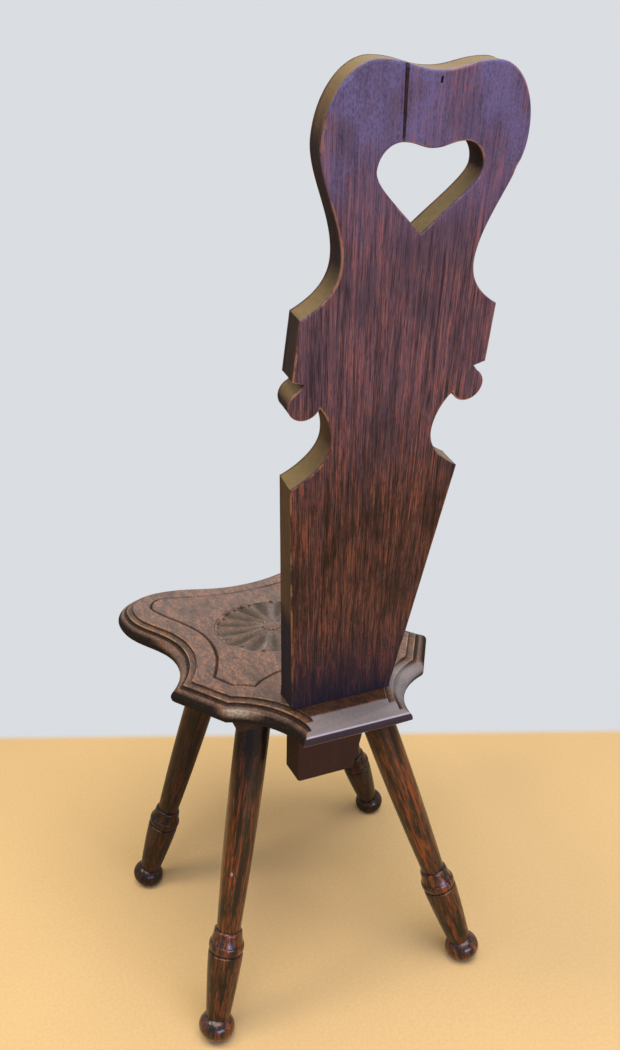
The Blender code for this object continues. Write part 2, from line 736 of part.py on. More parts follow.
def make_screw(name, x, y, parts, cutters, root):
    screw = turned(name, screw_profile(), parts, root, steps=SCREW_SIDES)
    hole = turned(name + "_hole", screw_hole_profile(), cutters, root, steps=SCREW_SIDES)
    for item in (screw, hole):
        item.location = (x, y, BATTEN_UNDERSIDE)
    return screw, as_cutter(hole)


def floor_cutter(cutters, root):
    """The floor, which levels the undersides of the ball feet."""
    cutter = flat_prism("floor_cut", [
        (-CUTTER_REACH, -CUTTER_REACH),
        (CUTTER_REACH, -CUTTER_REACH),
        (CUTTER_REACH, 0.0),
        (-CUTTER_REACH, 0.0)], 2 * CUTTER_REACH, cutters, root)
    turn_across(cutter)
    return as_cutter(cutter)


def leg_places():
    """Each leg's name with the ends of its axis: at the seat's underside and in the foot's middle."""
    return [
        ("rear_left_leg", (REAR_LEG_TOP_X, REAR_BATTEN_Y), (REAR_FOOT_X, REAR_LEFT_FOOT_Y)),
        ("rear_right_leg", (-REAR_LEG_TOP_X, REAR_BATTEN_Y), (-REAR_FOOT_X, REAR_RIGHT_FOOT_Y)),
        ("front_left_leg", (FRONT_LEG_TOP_X, FRONT_LEG_TOP_Y), (FRONT_FOOT_X, FRONT_LEFT_FOOT_Y)),
        ("front_right_leg", (-FRONT_LEG_TOP_X, FRONT_LEG_TOP_Y), (-FRONT_FOOT_X, FRONT_RIGHT_FOOT_Y))]


def centre_over_origin(parts, root):
    """Move the whole chair so that the middle of its box stands over the origin."""
    bpy.context.view_layer.update()
    graph = bpy.context.evaluated_depsgraph_get()
    places = []
    for item in parts.objects:
        evaluated = item.evaluated_get(graph)
        places += [evaluated.matrix_world @ vertex.co for vertex in evaluated.data.vertices]
    for axis in (0, 1):
        values = [place[axis] for place in places]
        root.location[axis] = -(min(values) + max(values)) / 2


def main():
    clear_scene()
    parts = new_collection("spinning_chair")
    cutters = new_collection("spinning_chair_cutters")
    root = bpy.data.objects.new("spinning_chair_root", None)
    bpy.context.scene.collection.objects.link(root)
    seat_oak = new_material("seat_oak", SEAT_COLOUR, SEAT_ROUGHNESS)
    plank_oak = new_material("plank_oak", BACK_COLOUR, BACK_ROUGHNESS)
    turned_oak = new_material("turned_oak", LEG_COLOUR, LEG_ROUGHNESS)
    batten_oak = new_material("batten_oak", BATTEN_COLOUR, BATTEN_ROUGHNESS)
    steel = new_material("screw_steel", SCREW_COLOUR, SCREW_ROUGHNESS, SCREW_METALLIC)

    seat = make_seat(parts, root)
    seat.data.materials.append(seat_oak)
    for cutter in seat_end_cutters(cutters, root):
        cut(seat, cutter)

    back = make_back(parts, cutters, root)
    back.data.materials.append(plank_oak)
    cut(seat, mortise_cutter(cutters, root))

    rear_batten = make_batten("rear_batten", REAR_BATTEN_Y, parts, root)
    front_batten = make_batten("front_batten", FRONT_LEG_TOP_Y, parts, root)
    for batten in (rear_batten, front_batten):
        batten.data.materials.append(batten_oak)

    floor = floor_cutter(cutters, root)
    for name, top, foot in leg_places():
        leg, socket = make_leg(
            name, Vector((*top, SEAT_UNDERSIDE)), Vector((*foot, FOOT_CENTRE_HEIGHT)),
            floor, parts, cutters, root)
        leg.data.materials.append(turned_oak)
        cut(rear_batten if name.startswith("rear") else front_batten, socket)
        cut(seat, socket)

    for batten, label in ((rear_batten, "rear"), (front_batten, "front")):
        for side, hand in ((1, "left"), (-1, "right")):
            screw, hole = make_screw(
                f"{label}_{hand}_batten_screw", side * SCREW_HALF_SPACING, batten.location.y,
                parts, cutters, root)
            screw.data.materials.append(steel)
            cut(batten, hole)
            cut(seat, hole)

    for item in (seat, back, rear_batten, front_batten):
        smooth(item.data)
    centre_over_origin(parts, root)


main()
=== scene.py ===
"""The looks of a low oak spinning chair: carved seat, shaped plank back, turned legs, battens and screws.

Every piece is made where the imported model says, in metres, +Z up and the chair's front towards -Y.
"""
import json
import math

import bmesh
import bpy
import numpy as np
from mathutils import Matrix, Vector, kdtree, noise
from mathutils.geometry import delaunay_2d_cdt


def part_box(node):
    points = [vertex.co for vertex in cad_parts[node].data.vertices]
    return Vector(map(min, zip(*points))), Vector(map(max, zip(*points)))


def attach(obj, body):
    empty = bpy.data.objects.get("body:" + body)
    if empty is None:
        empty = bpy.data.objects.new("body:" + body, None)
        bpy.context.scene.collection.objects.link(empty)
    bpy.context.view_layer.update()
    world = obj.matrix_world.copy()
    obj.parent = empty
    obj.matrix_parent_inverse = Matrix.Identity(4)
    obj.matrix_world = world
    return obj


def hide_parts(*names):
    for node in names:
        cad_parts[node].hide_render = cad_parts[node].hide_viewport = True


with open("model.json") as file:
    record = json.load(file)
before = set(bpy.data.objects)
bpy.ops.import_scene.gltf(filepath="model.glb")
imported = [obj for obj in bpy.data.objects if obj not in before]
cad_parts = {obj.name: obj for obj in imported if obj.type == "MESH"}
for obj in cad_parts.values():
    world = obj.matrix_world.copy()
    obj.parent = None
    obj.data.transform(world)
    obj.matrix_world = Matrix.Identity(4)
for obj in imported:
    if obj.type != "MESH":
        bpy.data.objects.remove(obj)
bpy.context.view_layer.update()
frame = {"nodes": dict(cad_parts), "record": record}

bl_info = {
    "name": "Spinning chair",
    "version": (1, 0, 0),
    "blender": (4, 5, 0),
    "location": "View3D > Sidebar > Chair",
    "description": "Dresses a low oak spinning chair with its carving, wear and finishes",
    "category": "Object",
}

BODY = "root"
COLOURS = {entry["slot"]: entry["base_color"] for entry in frame["record"]["materials"]}

# Seat board, drawn from above for its +X half
LOBE = Vector((0.110, -0.211))
SIDE = Vector((0.175, -0.149))
WAIST = Vector((0.1325, -0.012))
FACET_FRONT = Vector((0.157, 0.057))
FACET_REAR = Vector((0.1165, 0.1215))
FRONT_HOLLOW = Vector((0.0, -0.1865))
REAR_CORNER = Vector((0.0592, 0.2005))
REAR_HOLLOW_RADIUS = 0.090

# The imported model's place for that drawing
SEAT_LOW, SEAT_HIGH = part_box("seat_board")
SEAT_TOP = SEAT_HIGH.z
SEAT_UNDERSIDE = SEAT_LOW.z
SHIFT = Vector(((SEAT_LOW.x + SEAT_HIGH.x) / 2, SEAT_LOW.y - LOBE.y, 0.0))
CLEARANCE = 0.0003

# How far a curve's handles reach along its stretch
QUARTER_ROUND = 0.5523
EASY = 0.40
LONG = 0.45

# Seat moulding and rear end
TIER_INSET = 0.020
TIER_DROP = 0.0026
LEDGE_WIDTH = 0.008
QUIRK_DROP = 0.0035
NOSE_RADIUS = 0.009
UNDERSIDE_CHAMFER = 0.003
LEDGE_DROP = 0.008
LEDGE_RUN = 0.0235
LEDGE_START = REAR_CORNER.y - LEDGE_RUN
LEDGE_EDGE = SEAT_TOP - LEDGE_DROP
REAR_FACE_HEIGHT = 0.0085
REAR_CHAMFER_RUN = 0.012

# Carving on the seat: the cut line for its +X half, then the round
CUT_LINE = [
    [(0.0, -0.1473), (0.025, -0.148), (0.055, -0.1537), (0.0825, -0.1625), (0.105, -0.1702), (0.116, -0.1713),
     (0.126, -0.164), (0.131, -0.151), (0.1287, -0.136), (0.120, -0.115), (0.105, -0.085), (0.0937, -0.0575),
     (0.0885, -0.0325), (0.088, -0.010), (0.091, 0.015), (0.0987, 0.040), (0.1075, 0.0605)],
    [(0.1075, 0.0605), (0.0937, 0.086)],
    [(0.0937, 0.086), (0.0835, 0.0905), (0.0737, 0.098)],
    [(0.0737, 0.098), (0.0625, 0.0887), (0.0425, 0.080), (0.021, 0.0755), (0.0, 0.074)]]
ROUND_CENTRE = Vector((0.0045, -0.034))
BOSS_DISH = 0.0011
MOAT_WIDTH = 0.0022
MOAT_DEPTH = 0.0016
PETAL_TIP_ROUND = 0.0045
PETAL_RUN_OUT = 0.0055
PETAL_RIDGE = 0.16
RIM_OFFSET = 0.0024
RIM_DEPTH = 0.0008
PUNCH_INSET = 0.0030
PUNCH_DEPTH = 0.0030
PUNCH_RADIUS = 0.0026
RIDGE_DEGREES = 0.4
RIDGE_END = 0.006
CARVING_DEPTHS = (0.0002, 0.006)
PETAL_ANGLES = [-84, -64, -41, -18, 11, 35.5, 61, 85, 109, 133, 157, 181, 205, 229, 252]

# Where the moulding's nose in the rear hollows is kept free of grime and painted shade so that its coat gleams, and
# where a highlight is painted on it
NOSE_GLEAM = Vector((0.1145, 0.1205))
NOSE_GLEAM_RUN = Vector((-0.0290, 0.0125))
NOSE_GLEAM_REACH = 0.009

# Back board, each rise measured up its rear face from the seat's top
BACK_Y = 0.158
RAKE = math.radians(18.0)
FOOT_THICKNESS = 0.032
CREST_THICKNESS = 0.0195
BLADE_FOOT_HALF = 0.0545
SHOULDER = Vector((0.0775, 0.270))
HOLLOW = Vector((0.0455, 0.309))
EAR_CENTRE = Vector((0.0715, 0.3473))
EAR_RADIUS = 0.0138
EAR_ANGLES = [math.radians(angle) for angle in (199.6, 270.0, 360.0, 422.0)]
NOTCH = (0.0735, 0.3645)
BLOCK_FOOT = (0.0832, 0.3675)
BLOCK_TOP = Vector((0.0812, 0.416))
NECK = Vector((0.0537, 0.453))
HEAD = Vector((0.077, 0.533))
CREST = Vector((0.042, 0.5815))
CREST_DIP = 0.0057
HEART_OFFSET = -0.0052
HEART_LOBE = Vector((0.024, 0.5332))
HEART_DIP = 0.0042
HEART_SIDE = Vector((0.0402, 0.516))
HEART_TIP = 0.4727
TENON_LENGTH = 0.123
TENON_TOP_HALF = 0.0425
TENON_FOOT_HALF = 0.0335
TENON_OFFSET = 0.0045
TENON_EASE = 0.0025
CRACK_TOP = (0.0232, 0.5765)
CRACK_FOOT = (0.0188, 0.5345)
CRACK_HALF_WIDTH = 0.0014
CRACK_WIDENING = 0.0006
CRACK_DEPTH = 0.0007
CRACK_ROWS = 44
CRACK_ROW_START = 0.0012
CRACK_ROW_PITCH = 0.00095
NAIL_SLOT = (-0.0025, 0.570)
NAIL_SLOT_RADIUS = 0.0009
NAIL_SLOT_HALF = 0.0013
NAIL_SLOT_DEPTH = 0.0045
NAIL_SLOT_TAPER = 0.0002
NAIL_SLOT_SIDES = 14
PLANK_GRAIN_LEAN = 0.085
PLANK_WALL_START = 0.002
WORN_FROM = 0.004
SAWN_FROM = 0.01
SHARP_ARRIS = 0.0004

# Knocks in the plank's rear arris, each with its x, rise, reach and size
KNOCKS = (
    (0.0735, 0.545, 0.006, 0.0022), (0.0765, 0.530, 0.004, 0.0016), (0.062, 0.572, 0.005, 0.0014),
    (0.079, 0.390, 0.004, 0.0012), (-0.0745, 0.515, 0.005, 0.0012), (0.076, 0.2665, 0.004, 0.0014))

# Battens and screws
BATTEN_HALF_LENGTH = 0.106
BATTEN_END_SLOPE = 0.0075
BATTEN_WIDTH = 0.084
BATTEN_EASE = 0.0012
SCREW_LENGTH = 0.030
SCREW_SHANK = 0.0025
SCREW_HEAD = 0.005
SCREW_HEAD_HEIGHT = 0.003
SCREW_SLOT = (0.0012, 0.02, 0.0024)

# Turned legs: where their axes meet the seat's underside and where their feet stand
LEG_PLACES = {
    "rear_left_leg": ((0.0615, None), (0.1585, 0.142)),
    "rear_right_leg": ((-0.0615, None), (-0.1585, 0.149)),
    "front_left_leg": ((0.0572, -0.0842), (0.1785, -0.130)),
    "front_right_leg": ((-0.0572, -0.0842), (-0.1785, -0.150))}
FOOT_CENTRE = 0.014
SOCKET_DEPTH = 0.010
FOOT_RADIUS = 0.0206
FOOT_HALF_HEIGHT = 0.0160
ANKLE_RADIUS = 0.0137
ANKLE_SHARE = 0.76
CALF_RADIUS = 0.0200
CALF_TOP = 0.0887
GROOVE_RADIUS = 0.0182
GROOVE_TOP = 0.0913
BEAD_RADIUS = 0.0203
BEAD_NECK_RADIUS = 0.0188
BEAD_TOP = 0.1005
COLLAR_RADIUS = 0.0164
COLLAR_FOOT = 0.112
SHAFT_FOOT = 0.1155
SHAFT_FOOT_RADIUS = 0.0136
SHAFT_RADIUS = 0.0192
SWELL_TOP = 0.330
LEG_GRAIN_STEP = (0.43, 0.29, 0.13)
# How far the front legs are darkened all over: painted shade from the seat above them
FRONT_LEG_SHADE = 0.96
NICK_LEG = "rear_left_leg"
NICK_PLACE = (0.1234, 0.1229, 0.1963)
NICK_HEIGHT = 0.1856
NICK_RADIUS = 0.0032
NICK_DEPTH = 0.0006
NICK_STRETCH = (1.0, 1.0, 1.5)
NICK_CLEAR = 0.007
NICK_PITCH = 0.0012

# Camera, for a picture 620 wide and 1050 high
PICTURE_WIDTH = 620.0
PICTURE_HEIGHT = 1050.0
FOCAL = 850.5
AXIS_X = 259.79
AXIS_Y = 526.98
CAMERA_PLACE = (0.3111, 0.8607, 0.8708)
CAMERA_RIGHT = (-0.94143, 0.33281, -0.05413)
CAMERA_UP = (-0.15908, -0.29684, 0.94155)
CAMERA_FORWARD = (-0.29729, -0.89504, -0.33240)

# The floor's far edge, square to its normal and this far from the middle
FLOOR_EDGE_NORMAL = (0.3917, 0.9201, 0.0)
FLOOR_EDGE = -0.472
FLOOR_EDGE_BLUR = 0.012
FLOOR_REACH = 6.0

# Lamps, each with its place, what it points at, its width, height and colour
LAMPS = {
    "overhead": ((-0.05, 0.55, 2.5), (0.0, 0.0, 0.4), 2.0, 1.6, (1.0, 0.985, 0.96)),
    "side": ((1.35, -0.20, 2.15), (0.0, 0.0, 0.4), 0.65, 0.65, (1.0, 0.90, 0.74)),
    "window": ((-0.35, 2.3, 0.75), (0.0, 0.2, 0.8), 1.7, 0.7, (0.55, 0.60, 1.0))}
ROOM_COLOUR = (0.95, 0.97, 1.0, 1.0)
ROOM_STRENGTH = 0.28

# Spacing of the meshes' points
SEAT_EDGE_PITCH = 0.0026
SEAT_TOP_PITCH = 0.0058
SEAT_UNDER_PITCH = 0.02
CUT_LINE_PITCH = 0.0030
PLANK_EDGE_PITCH = 0.0025
HEART_PITCH = 0.0022
PLANK_REAR_PITCH = 0.0046
PLANK_FRONT_PITCH = 0.0065
EDGE_STRIP = 0.0011
HOLE_SIDES = 24
SOCKET_SIDES = 48
PETAL_STEPS = 14
PETAL_RING_PITCH = 0.0028
GRID_ROW = 0.866
SHARP_MITRE = 1.05
FOLD_POINTS = 13
WELD = 1e-6
POLE_WELD = 1e-5
SAME_SPOT = 1e-7
SHARP_ANGLE = math.radians(32.0)

# How far cutters run past the wood
CUT_PAST = 0.03
CUT_BEHIND = 0.2
CUT_ASIDE = 0.3
SOCKET_CUT_BELOW = 0.05
SINK_CUT_BELOW = 0.004

# Grime and painted shade: where they start, over how far they grow, and how much there is
WAIST_SHADE_START = 0.035
WAIST_SHADE_FADE = 0.03
PUNCH_SOIL_START = 0.0006
PETAL_SHADE_START = 0.0014
PETAL_SHADE_FADE = 0.0022
PETAL_GRIME_AND_SHADE = 0.80
LINE_SHADE_START = 0.0003
LINE_SHADE_FADE = 0.0014
LINE_GRIME_AND_SHADE = 0.95
PLANK_REAR_DARK_TOP = 0.135
PLANK_SIDE_DARK_TOP = 0.19
PLANK_SIDE_DARK_FADE = 0.08
PLANK_SIDE_SHADE_STEP = 0.33
TENON_SOIL = 0.70
SEAT_SHADE = 0.14
SEAT_SHADE_FADE = 0.08
BATTEN_SOIL = 0.15

# A grain's three distances
ACROSS, ALONG, DEEP = range(3)


def length_setting(name, description, default):
    return bpy.props.FloatProperty(name=name, description=description, default=default, unit="LENGTH")


def colour_setting(name, description, default):
    return bpy.props.FloatVectorProperty(name=name, description=description, default=default, subtype="COLOR")


def power_setting(name, description, default):
    return bpy.props.FloatProperty(name=name, description=description, default=default, min=0.0, subtype="POWER")


class ChairSizes(bpy.types.PropertyGroup):
    """Sizes of the finer shapes."""

    plank_arris: length_setting("Plank arris", "Radius of the plank's worn edges", 0.0013)
    moulding_arris: length_setting("Moulding arris", "Radius of the seat moulding's edges", 0.0009)
    cut_width: length_setting("Cut line width", "Width of the line cut into the seat", 0.0042)
    cut_depth: length_setting("Cut line depth", "Depth of the line cut into the seat", 0.0022)
    round_radius: length_setting("Carved round", "Radius of the carved round", 0.0695)
    petal_depth: length_setting("Petal depth", "Depth of the round's gouged petals", 0.0040)
    boss_radius: length_setting("Boss", "Radius of the knob left in the round's middle", 0.0105)
    leg_sides: bpy.props.IntProperty(name="Leg sides", description="Steps round a turned leg", default=72, min=12)


class ChairFinish(bpy.types.PropertyGroup):
    """Colours of the finishes."""

    plank: colour_setting("Plank", "Stained oak of the plank", COLOURS["plank_oak"])
    seat: colour_setting("Seat", "Stained oak of the seat", COLOURS["seat_oak"])
    legs: colour_setting("Legs", "Stained oak of the legs", COLOURS["turned_oak"])
    battens: colour_setting("Battens", "Dull oak of the battens", COLOURS["batten_oak"])
    screws: colour_setting("Screws", "Dulled steel of the screws", COLOURS["screw_steel"])


class StageLook(bpy.types.PropertyGroup):
    """Floor, backdrop and light."""

    floor: colour_setting("Floor", "Colour of the floor", (0.86, 0.575, 0.262))
    backdrop: colour_setting("Backdrop", "Colour behind the chair", (0.70, 0.725, 0.755))
    overhead: power_setting("Overhead light", "Power of the soft light above", 50.0)
    side: power_setting("Side light", "Power of the warm light from the left", 13.0)
    window: power_setting("Window light", "Power of the cool light behind", 38.0)


class Wire:
    """A node's output that takes part in Python sums; each sum adds its Math node."""

    def __init__(self, paint, socket):
        self.paint = paint
        self.socket = socket

    def sum(self, operation, *values):
        return self.paint.node("ShaderNodeMath", {"operation": operation}, dict(enumerate(values)))

    def __add__(self, other):
        return self.sum("ADD", self, other)

    def __radd__(self, other):
        return self.sum("ADD", other, self)

    def __sub__(self, other):
        return self.sum("SUBTRACT", self, other)

    def __rsub__(self, other):
        return self.sum("SUBTRACT", other, self)

    def __mul__(self, other):
        return self.sum("MULTIPLY", self, other)

    def __truediv__(self, other):
        return self.sum("DIVIDE", self, other)

    def __pow__(self, other):
        return self.sum("POWER", self, other)

    def at_most(self, other):
        return self.sum("MINIMUM", self, other)

    def at_least(self, other):
        return self.sum("MAXIMUM", self, other)

    def size(self):
        return self.sum("ABSOLUTE", self)

    def between(self, low, high):
        """0 below low, 1 above high, eased in between; a low above high turns it round."""
        return self.paint.node("ShaderNodeMapRange", {"interpolation_type": "SMOOTHSTEP"}, {
            "Value": self, "From Min": low, "From Max": high, "To Min": 0.0, "To Max": 1.0}, "Result")


class Paint:
    """One node tree, filled by calls."""

    def __init__(self, tree):
        self.tree = tree

    def node(self, kind, settings=None, sockets=None, output=0):
        made = self.tree.nodes.new(kind)
        for name, value in (settings or {}).items():
            setattr(made, name, value)
        for key, value in (sockets or {}).items():
            place = key if isinstance(key, int) else self.find(made.inputs, key)
            if isinstance(value, Wire):
                self.tree.links.new(value.socket, made.inputs[place])
            else:
                made.inputs[place].default_value = value
        place = output if isinstance(output, int) else self.find(made.outputs, output)
        return Wire(self, made.outputs[place]) if len(made.outputs) else made

    @staticmethod
    def find(sockets, key):
        for index, socket in enumerate(sockets):
            if socket.identifier == key:
                return index
        for index, socket in enumerate(sockets):
            if socket.name == key:
                return index
        raise KeyError(key)

    def mix(self, share, first, second, blend="MIX"):
        first, second = (
            (*value, 1.0) if isinstance(value, (tuple, list)) and len(value) == 3 else value
            for value in (first, second))
        return self.node("ShaderNodeMix", {"data_type": "RGBA", "blend_type": blend}, {
            "Factor_Float": share, "A_Color": first, "B_Color": second}, "Result_Color")

    def noise(self, place, scale, detail=2.0, roughness=0.5, distortion=0.0):
        return self.node("ShaderNodeTexNoise", None, {
            "Vector": place, "Scale": scale, "Detail": detail, "Roughness": roughness, "Distortion": distortion}, "Fac")

    def stretched(self, place, along):
        """The place with its second distance shortened, so that a noise read there runs along the grain."""
        factors = {0: place, 1: (1.0, along, 1.0)}
        return self.node("ShaderNodeVectorMath", {"operation": "MULTIPLY"}, factors, "Vector")

    def joined(self, across, along, deep):
        return self.node("ShaderNodeCombineXYZ", None, {0: across, 1: along, 2: deep}, "Vector")

    def attribute(self, name, output="Fac"):
        return self.node("ShaderNodeAttribute", {"attribute_name": name}, None, output)

    def part(self, vector, axis):
        return self.node("ShaderNodeSeparateXYZ", None, {0: vector}, axis)


def new_paint(name):
    material = bpy.data.materials.new(name)
    material.use_nodes = True
    material.node_tree.nodes.clear()
    return material, Paint(material.node_tree)


def shade(colour, factor):
    return tuple(min(1.0, part * factor) for part in colour)


def tinted(colour, factors):
    return tuple(part * factor for part, factor in zip(colour, factors))


def oak(name, ground, ember, char, scale=800.0, length=0.065, wave=0.3, spread=0.10, streak=1.0, roughness=0.42,
        specular=0.4, gloss=0.1, gleam=0.16, blotch=0.5, patch=27.0, run=0.45, blot=(0.50, 0.34), fleck=0.0, matt=0.5,
        worn=(0.34, 0.15, 0.06), soil=(0.010, 0.006, 0.004), marks=()):
    """Stained oak that follows each piece's own grain: streaks, pores, blotches, worn arrises, grime and painted shade.

    ground, ember and char are its middle, bright and dark colours. scale and length give the figure's fineness
    and how far it runs along the grain, wave and spread its waviness and softness, and streak the share of ember.
    blotch, patch, run and blot are the share, fineness, length and limits of dark patches, and fleck the share of
    short dark flecks. gloss and gleam are the polish and its roughness, and matt is how much grime and painted shade
    dull it. marks are functions that turn the paint and the grain's three distances into a share, a colour and a blend.
    """
    material, paint = new_paint(name)
    grain = paint.attribute("grain", "Vector")
    wear = paint.attribute("wear")
    grime_and_shade = paint.attribute("soil")
    across, along, deep = (paint.part(grain, axis) for axis in "XYZ")
    fine = paint.noise(paint.stretched(grain, length), scale, 3.0, 0.6, wave)
    dash = paint.noise(paint.stretched(grain, length * 1.2), scale * 0.65, 2.0, 0.5, wave)
    bands = paint.noise(paint.stretched(grain, length * 0.8), scale * 0.19, 3.0, 0.55, wave)
    patches = paint.noise(paint.stretched(grain, run), patch, 4.0, 0.62)
    pores = paint.noise(paint.stretched(grain, 0.03), 1700.0).between(0.58, 0.70)
    rub = paint.noise(grain, 260.0, 3.0, 0.6)
    places = paint.noise(grain, 34.0)
    tone = fine * 0.62 + bands * 0.38
    figure = tone.between(0.48 - spread, 0.48 + spread)
    glow = dash.between(0.46, 0.46 + spread * 1.7) * (0.30 + bands.between(0.40, 0.60) * 0.70)
    glow = glow * (0.25 + patches.between(0.36, 0.58) * 0.75)
    base = paint.mix(figure, char, ground)
    base = paint.mix((glow * streak).at_most(1.0), base, ember)
    base = paint.mix(patches.between(*blot) * blotch, base, shade(char, 1.3))
    base = paint.mix(pores * 0.5, base, char)
    if fleck:
        short = paint.noise(paint.stretched(grain, 0.12), 1250.0, 2.0, 0.6, 0.4)
        base = paint.mix(short.between(0.50, 0.64) * fleck, base, char)
    rubbed = (wear * (0.30 + places.between(0.36, 0.66) * 1.1) + (rub - 0.5) * 0.9).between(0.42, 1.0)
    base = paint.mix(rubbed * 0.75, base, worn)
    # Mix in the colour of grime and painted shade, by each vertex's share of them
    base = paint.mix((grime_and_shade * (0.85 + (rub - 0.5) * 0.6)).at_most(1.0), base, soil)
    for mark in marks:
        share, colour, blend = mark(paint, across, along, deep)
        uneven = 0.45 + figure * 0.75 if blend == "ADD" else 1.0 + (rub - 0.5) * 0.6
        base = paint.mix((share * uneven).at_most(1.0), base, colour, blend)
    dull = roughness + (rub - 0.5) * 0.16 + (fine - 0.5) * 0.14 + pores * 0.12
    dull = dull + grime_and_shade * (0.05 + 0.65 * matt) - rubbed * 0.05
    polish = (gloss + (patches - 0.5) * gloss * 0.8) * (1.0 - grime_and_shade * matt)
    height = fine * 0.55 + bands * 0.35 - pores * 0.9 + rub * 0.25
    bump = paint.node("ShaderNodeBump", None, {"Strength": 0.32, "Distance": 0.00035, "Height": height}, "Normal")
    shader = paint.node("ShaderNodeBsdfPrincipled", None, {
        "Base Color": base, "Roughness": dull.at_least(0.08).at_most(1.0), "Normal": bump,
        "Specular IOR Level": specular, "Coat Weight": polish.at_least(0.0), "Coat Roughness": gleam}, "BSDF")
    paint.node("ShaderNodeOutputMaterial", None, {"Surface": shader})
    return material


def filled_crack(paint, across, along, deep):
    """A dark red filler down the plank's head."""
    run = (CRACK_TOP[0] - CRACK_FOOT[0]) / (CRACK_TOP[1] - CRACK_FOOT[1])
    rise = along - CRACK_FOOT[1]
    off = (across + along * PLANK_GRAIN_LEAN - (rise * run + CRACK_FOOT[0])).size()
    share = (off / (rise * 0.012 + 0.0011)).between(1.15, 0.75)
    return share * along.between(CRACK_FOOT[1] - 0.002, CRACK_FOOT[1] + 0.001) * 0.95, (0.016, 0.005, 0.005), "MIX"


def banded_mark(colour, strength, *bands, blend="MIX"):
    """A mark where, for each band, one of the grain's distances lies past its low and up to its high; used for stains
    and for painted sheen and shade.
    """
    def mark(paint, *distances):
        share = strength
        for axis, low, high in bands:
            share = distances[axis].between(low, high) * share
        return share, colour, blend
    return mark


def far_off(first, *others):
    """How far off a place is, from its distances along the axes."""
    return sum((side * side for side in others), first * first) ** 0.5


def painted_violet_sheen(paint, across, along, deep):
    """A violet sheen painted on the rear face of the plank's head, standing in for the reflection of cool window light.
    """
    place = paint.joined(across, along * 0.6, deep)
    share = along.between(0.44, 0.57) * deep.between(0.0030, 0.0010) * 0.72
    haze = 0.45 + paint.noise(place, 38.0, 3.0).between(0.35, 0.65) * 0.65
    fine = 0.55 + paint.noise(place, 700.0, 3.0).between(0.30, 0.70) * 0.9
    return share * haze * fine, (0.130, 0.112, 0.225), "MIX"


def painted_warm_edge_light(paint, across, along, deep):
    """Olive-gold light painted on the plank's sawn edges, strongest where they face up, standing in for warm light from
    the left.
    """
    thick = FOOT_THICKNESS - along * ((FOOT_THICKNESS - CREST_THICKNESS) / CREST.y)
    share = deep.between(0.0016, 0.0030) * (thick - deep).between(0.0016, 0.0030) * along.between(0.02, 0.06)
    return share * (1.0 - paint.attribute("soil")) * 0.85, (0.210, 0.145, 0.055), "MIX"


def painted_ledge_sheen(paint, across, along, deep):
    """A grey sheen painted on the seat's sloping rear ledge, standing in for reflected window light, partly a dusty
    bloom.
    """
    away = ((deep - SEAT_TOP) + (along - LEDGE_START) * (LEDGE_DROP / LEDGE_RUN)).size()
    share = away.between(0.0010, 0.0004) * along.between(LEDGE_START, LEDGE_START + 0.0015)
    return share * 0.85, (0.280, 0.240, 0.225), "MIX"


def painted_ledge_highlight(paint, across, along, deep):
    """A pale highlight painted along the sloping ledge's rear edge, standing in for the sky caught on its arris."""
    share = along.between(REAR_CORNER.y - 0.0016, REAR_CORNER.y - 0.0006)
    height = (deep - LEDGE_EDGE).size()
    return share * height.between(0.0012, 0.0006) * 0.8, (0.520, 0.470, 0.560), "MIX"


def painted_round_sheen(paint, across, along, deep):
    """A grey-green sheen painted in the carved round's hollows, standing in for the dull reflection on their shaded
    flanks.
    """
    away = far_off(across - ROUND_CENTRE.x, along - ROUND_CENTRE.y)
    share = away.between(0.0690, 0.0670) * deep.between(SEAT_TOP - 0.0004, SEAT_TOP - 0.0015)
    return share * 0.36, (0.098, 0.094, 0.078), "MIX"


def painted_nose_gleam(paint, across, along, deep):
    """A pale highlight painted on the nose in the left-hand hollow, standing in for the gleam of window light on its
    polish.
    """
    x, y = across - NOSE_GLEAM.x, along - NOSE_GLEAM.y
    run = ((x * NOSE_GLEAM_RUN.x + y * NOSE_GLEAM_RUN.y) / NOSE_GLEAM_RUN.length_squared).at_least(0.0).at_most(1.0)
    share = far_off(x - run * NOSE_GLEAM_RUN.x, y - run * NOSE_GLEAM_RUN.y).between(NOSE_GLEAM_REACH * 1.7, 0.0)
    height = deep.between(SEAT_TOP - 0.0165, SEAT_TOP - 0.0105) * deep.between(SEAT_TOP - 0.0055, SEAT_TOP - 0.0090)
    fade = run.between(-0.05, 0.22) * run.between(1.15, 0.55)
    broken = paint.noise(paint.joined(across, along, deep), 420.0, 3.0, 0.65).between(0.36, 0.62)
    return share * height * fade * (0.25 + broken * 0.75) * 0.85, (0.34, 0.29, 0.18), "MIX"


def painted_shade_strip(paint, across, along, deep):
    """Painted shade on the strip of seat between the plank and the ledge, deeper at its left end."""
    share = along.between(BACK_Y - 0.012, BACK_Y - 0.004) * along.between(LEDGE_START, LEDGE_START - 0.001)
    share = share * deep.between(SEAT_TOP - 0.002, SEAT_TOP - 0.001) * across.between(-0.066, -0.050)
    return share * (0.55 + across.between(0.030, 0.060) * 0.4), (0.042, 0.019, 0.011), "MIX"


# A reddish sheen painted on the rear face from the plank's hollows up, standing in for reflected light, and a dull
# brown stain on its tenon
painted_red_sheen = banded_mark((0.046, 0.032, 0.048), 1.0, (ALONG, 0.22, 0.40), (DEEP, 0.0030, 0.0010), blend="ADD")
tenon_stain = banded_mark((0.034, 0.015, 0.009), 0.85, (ALONG, -0.002, -0.006))

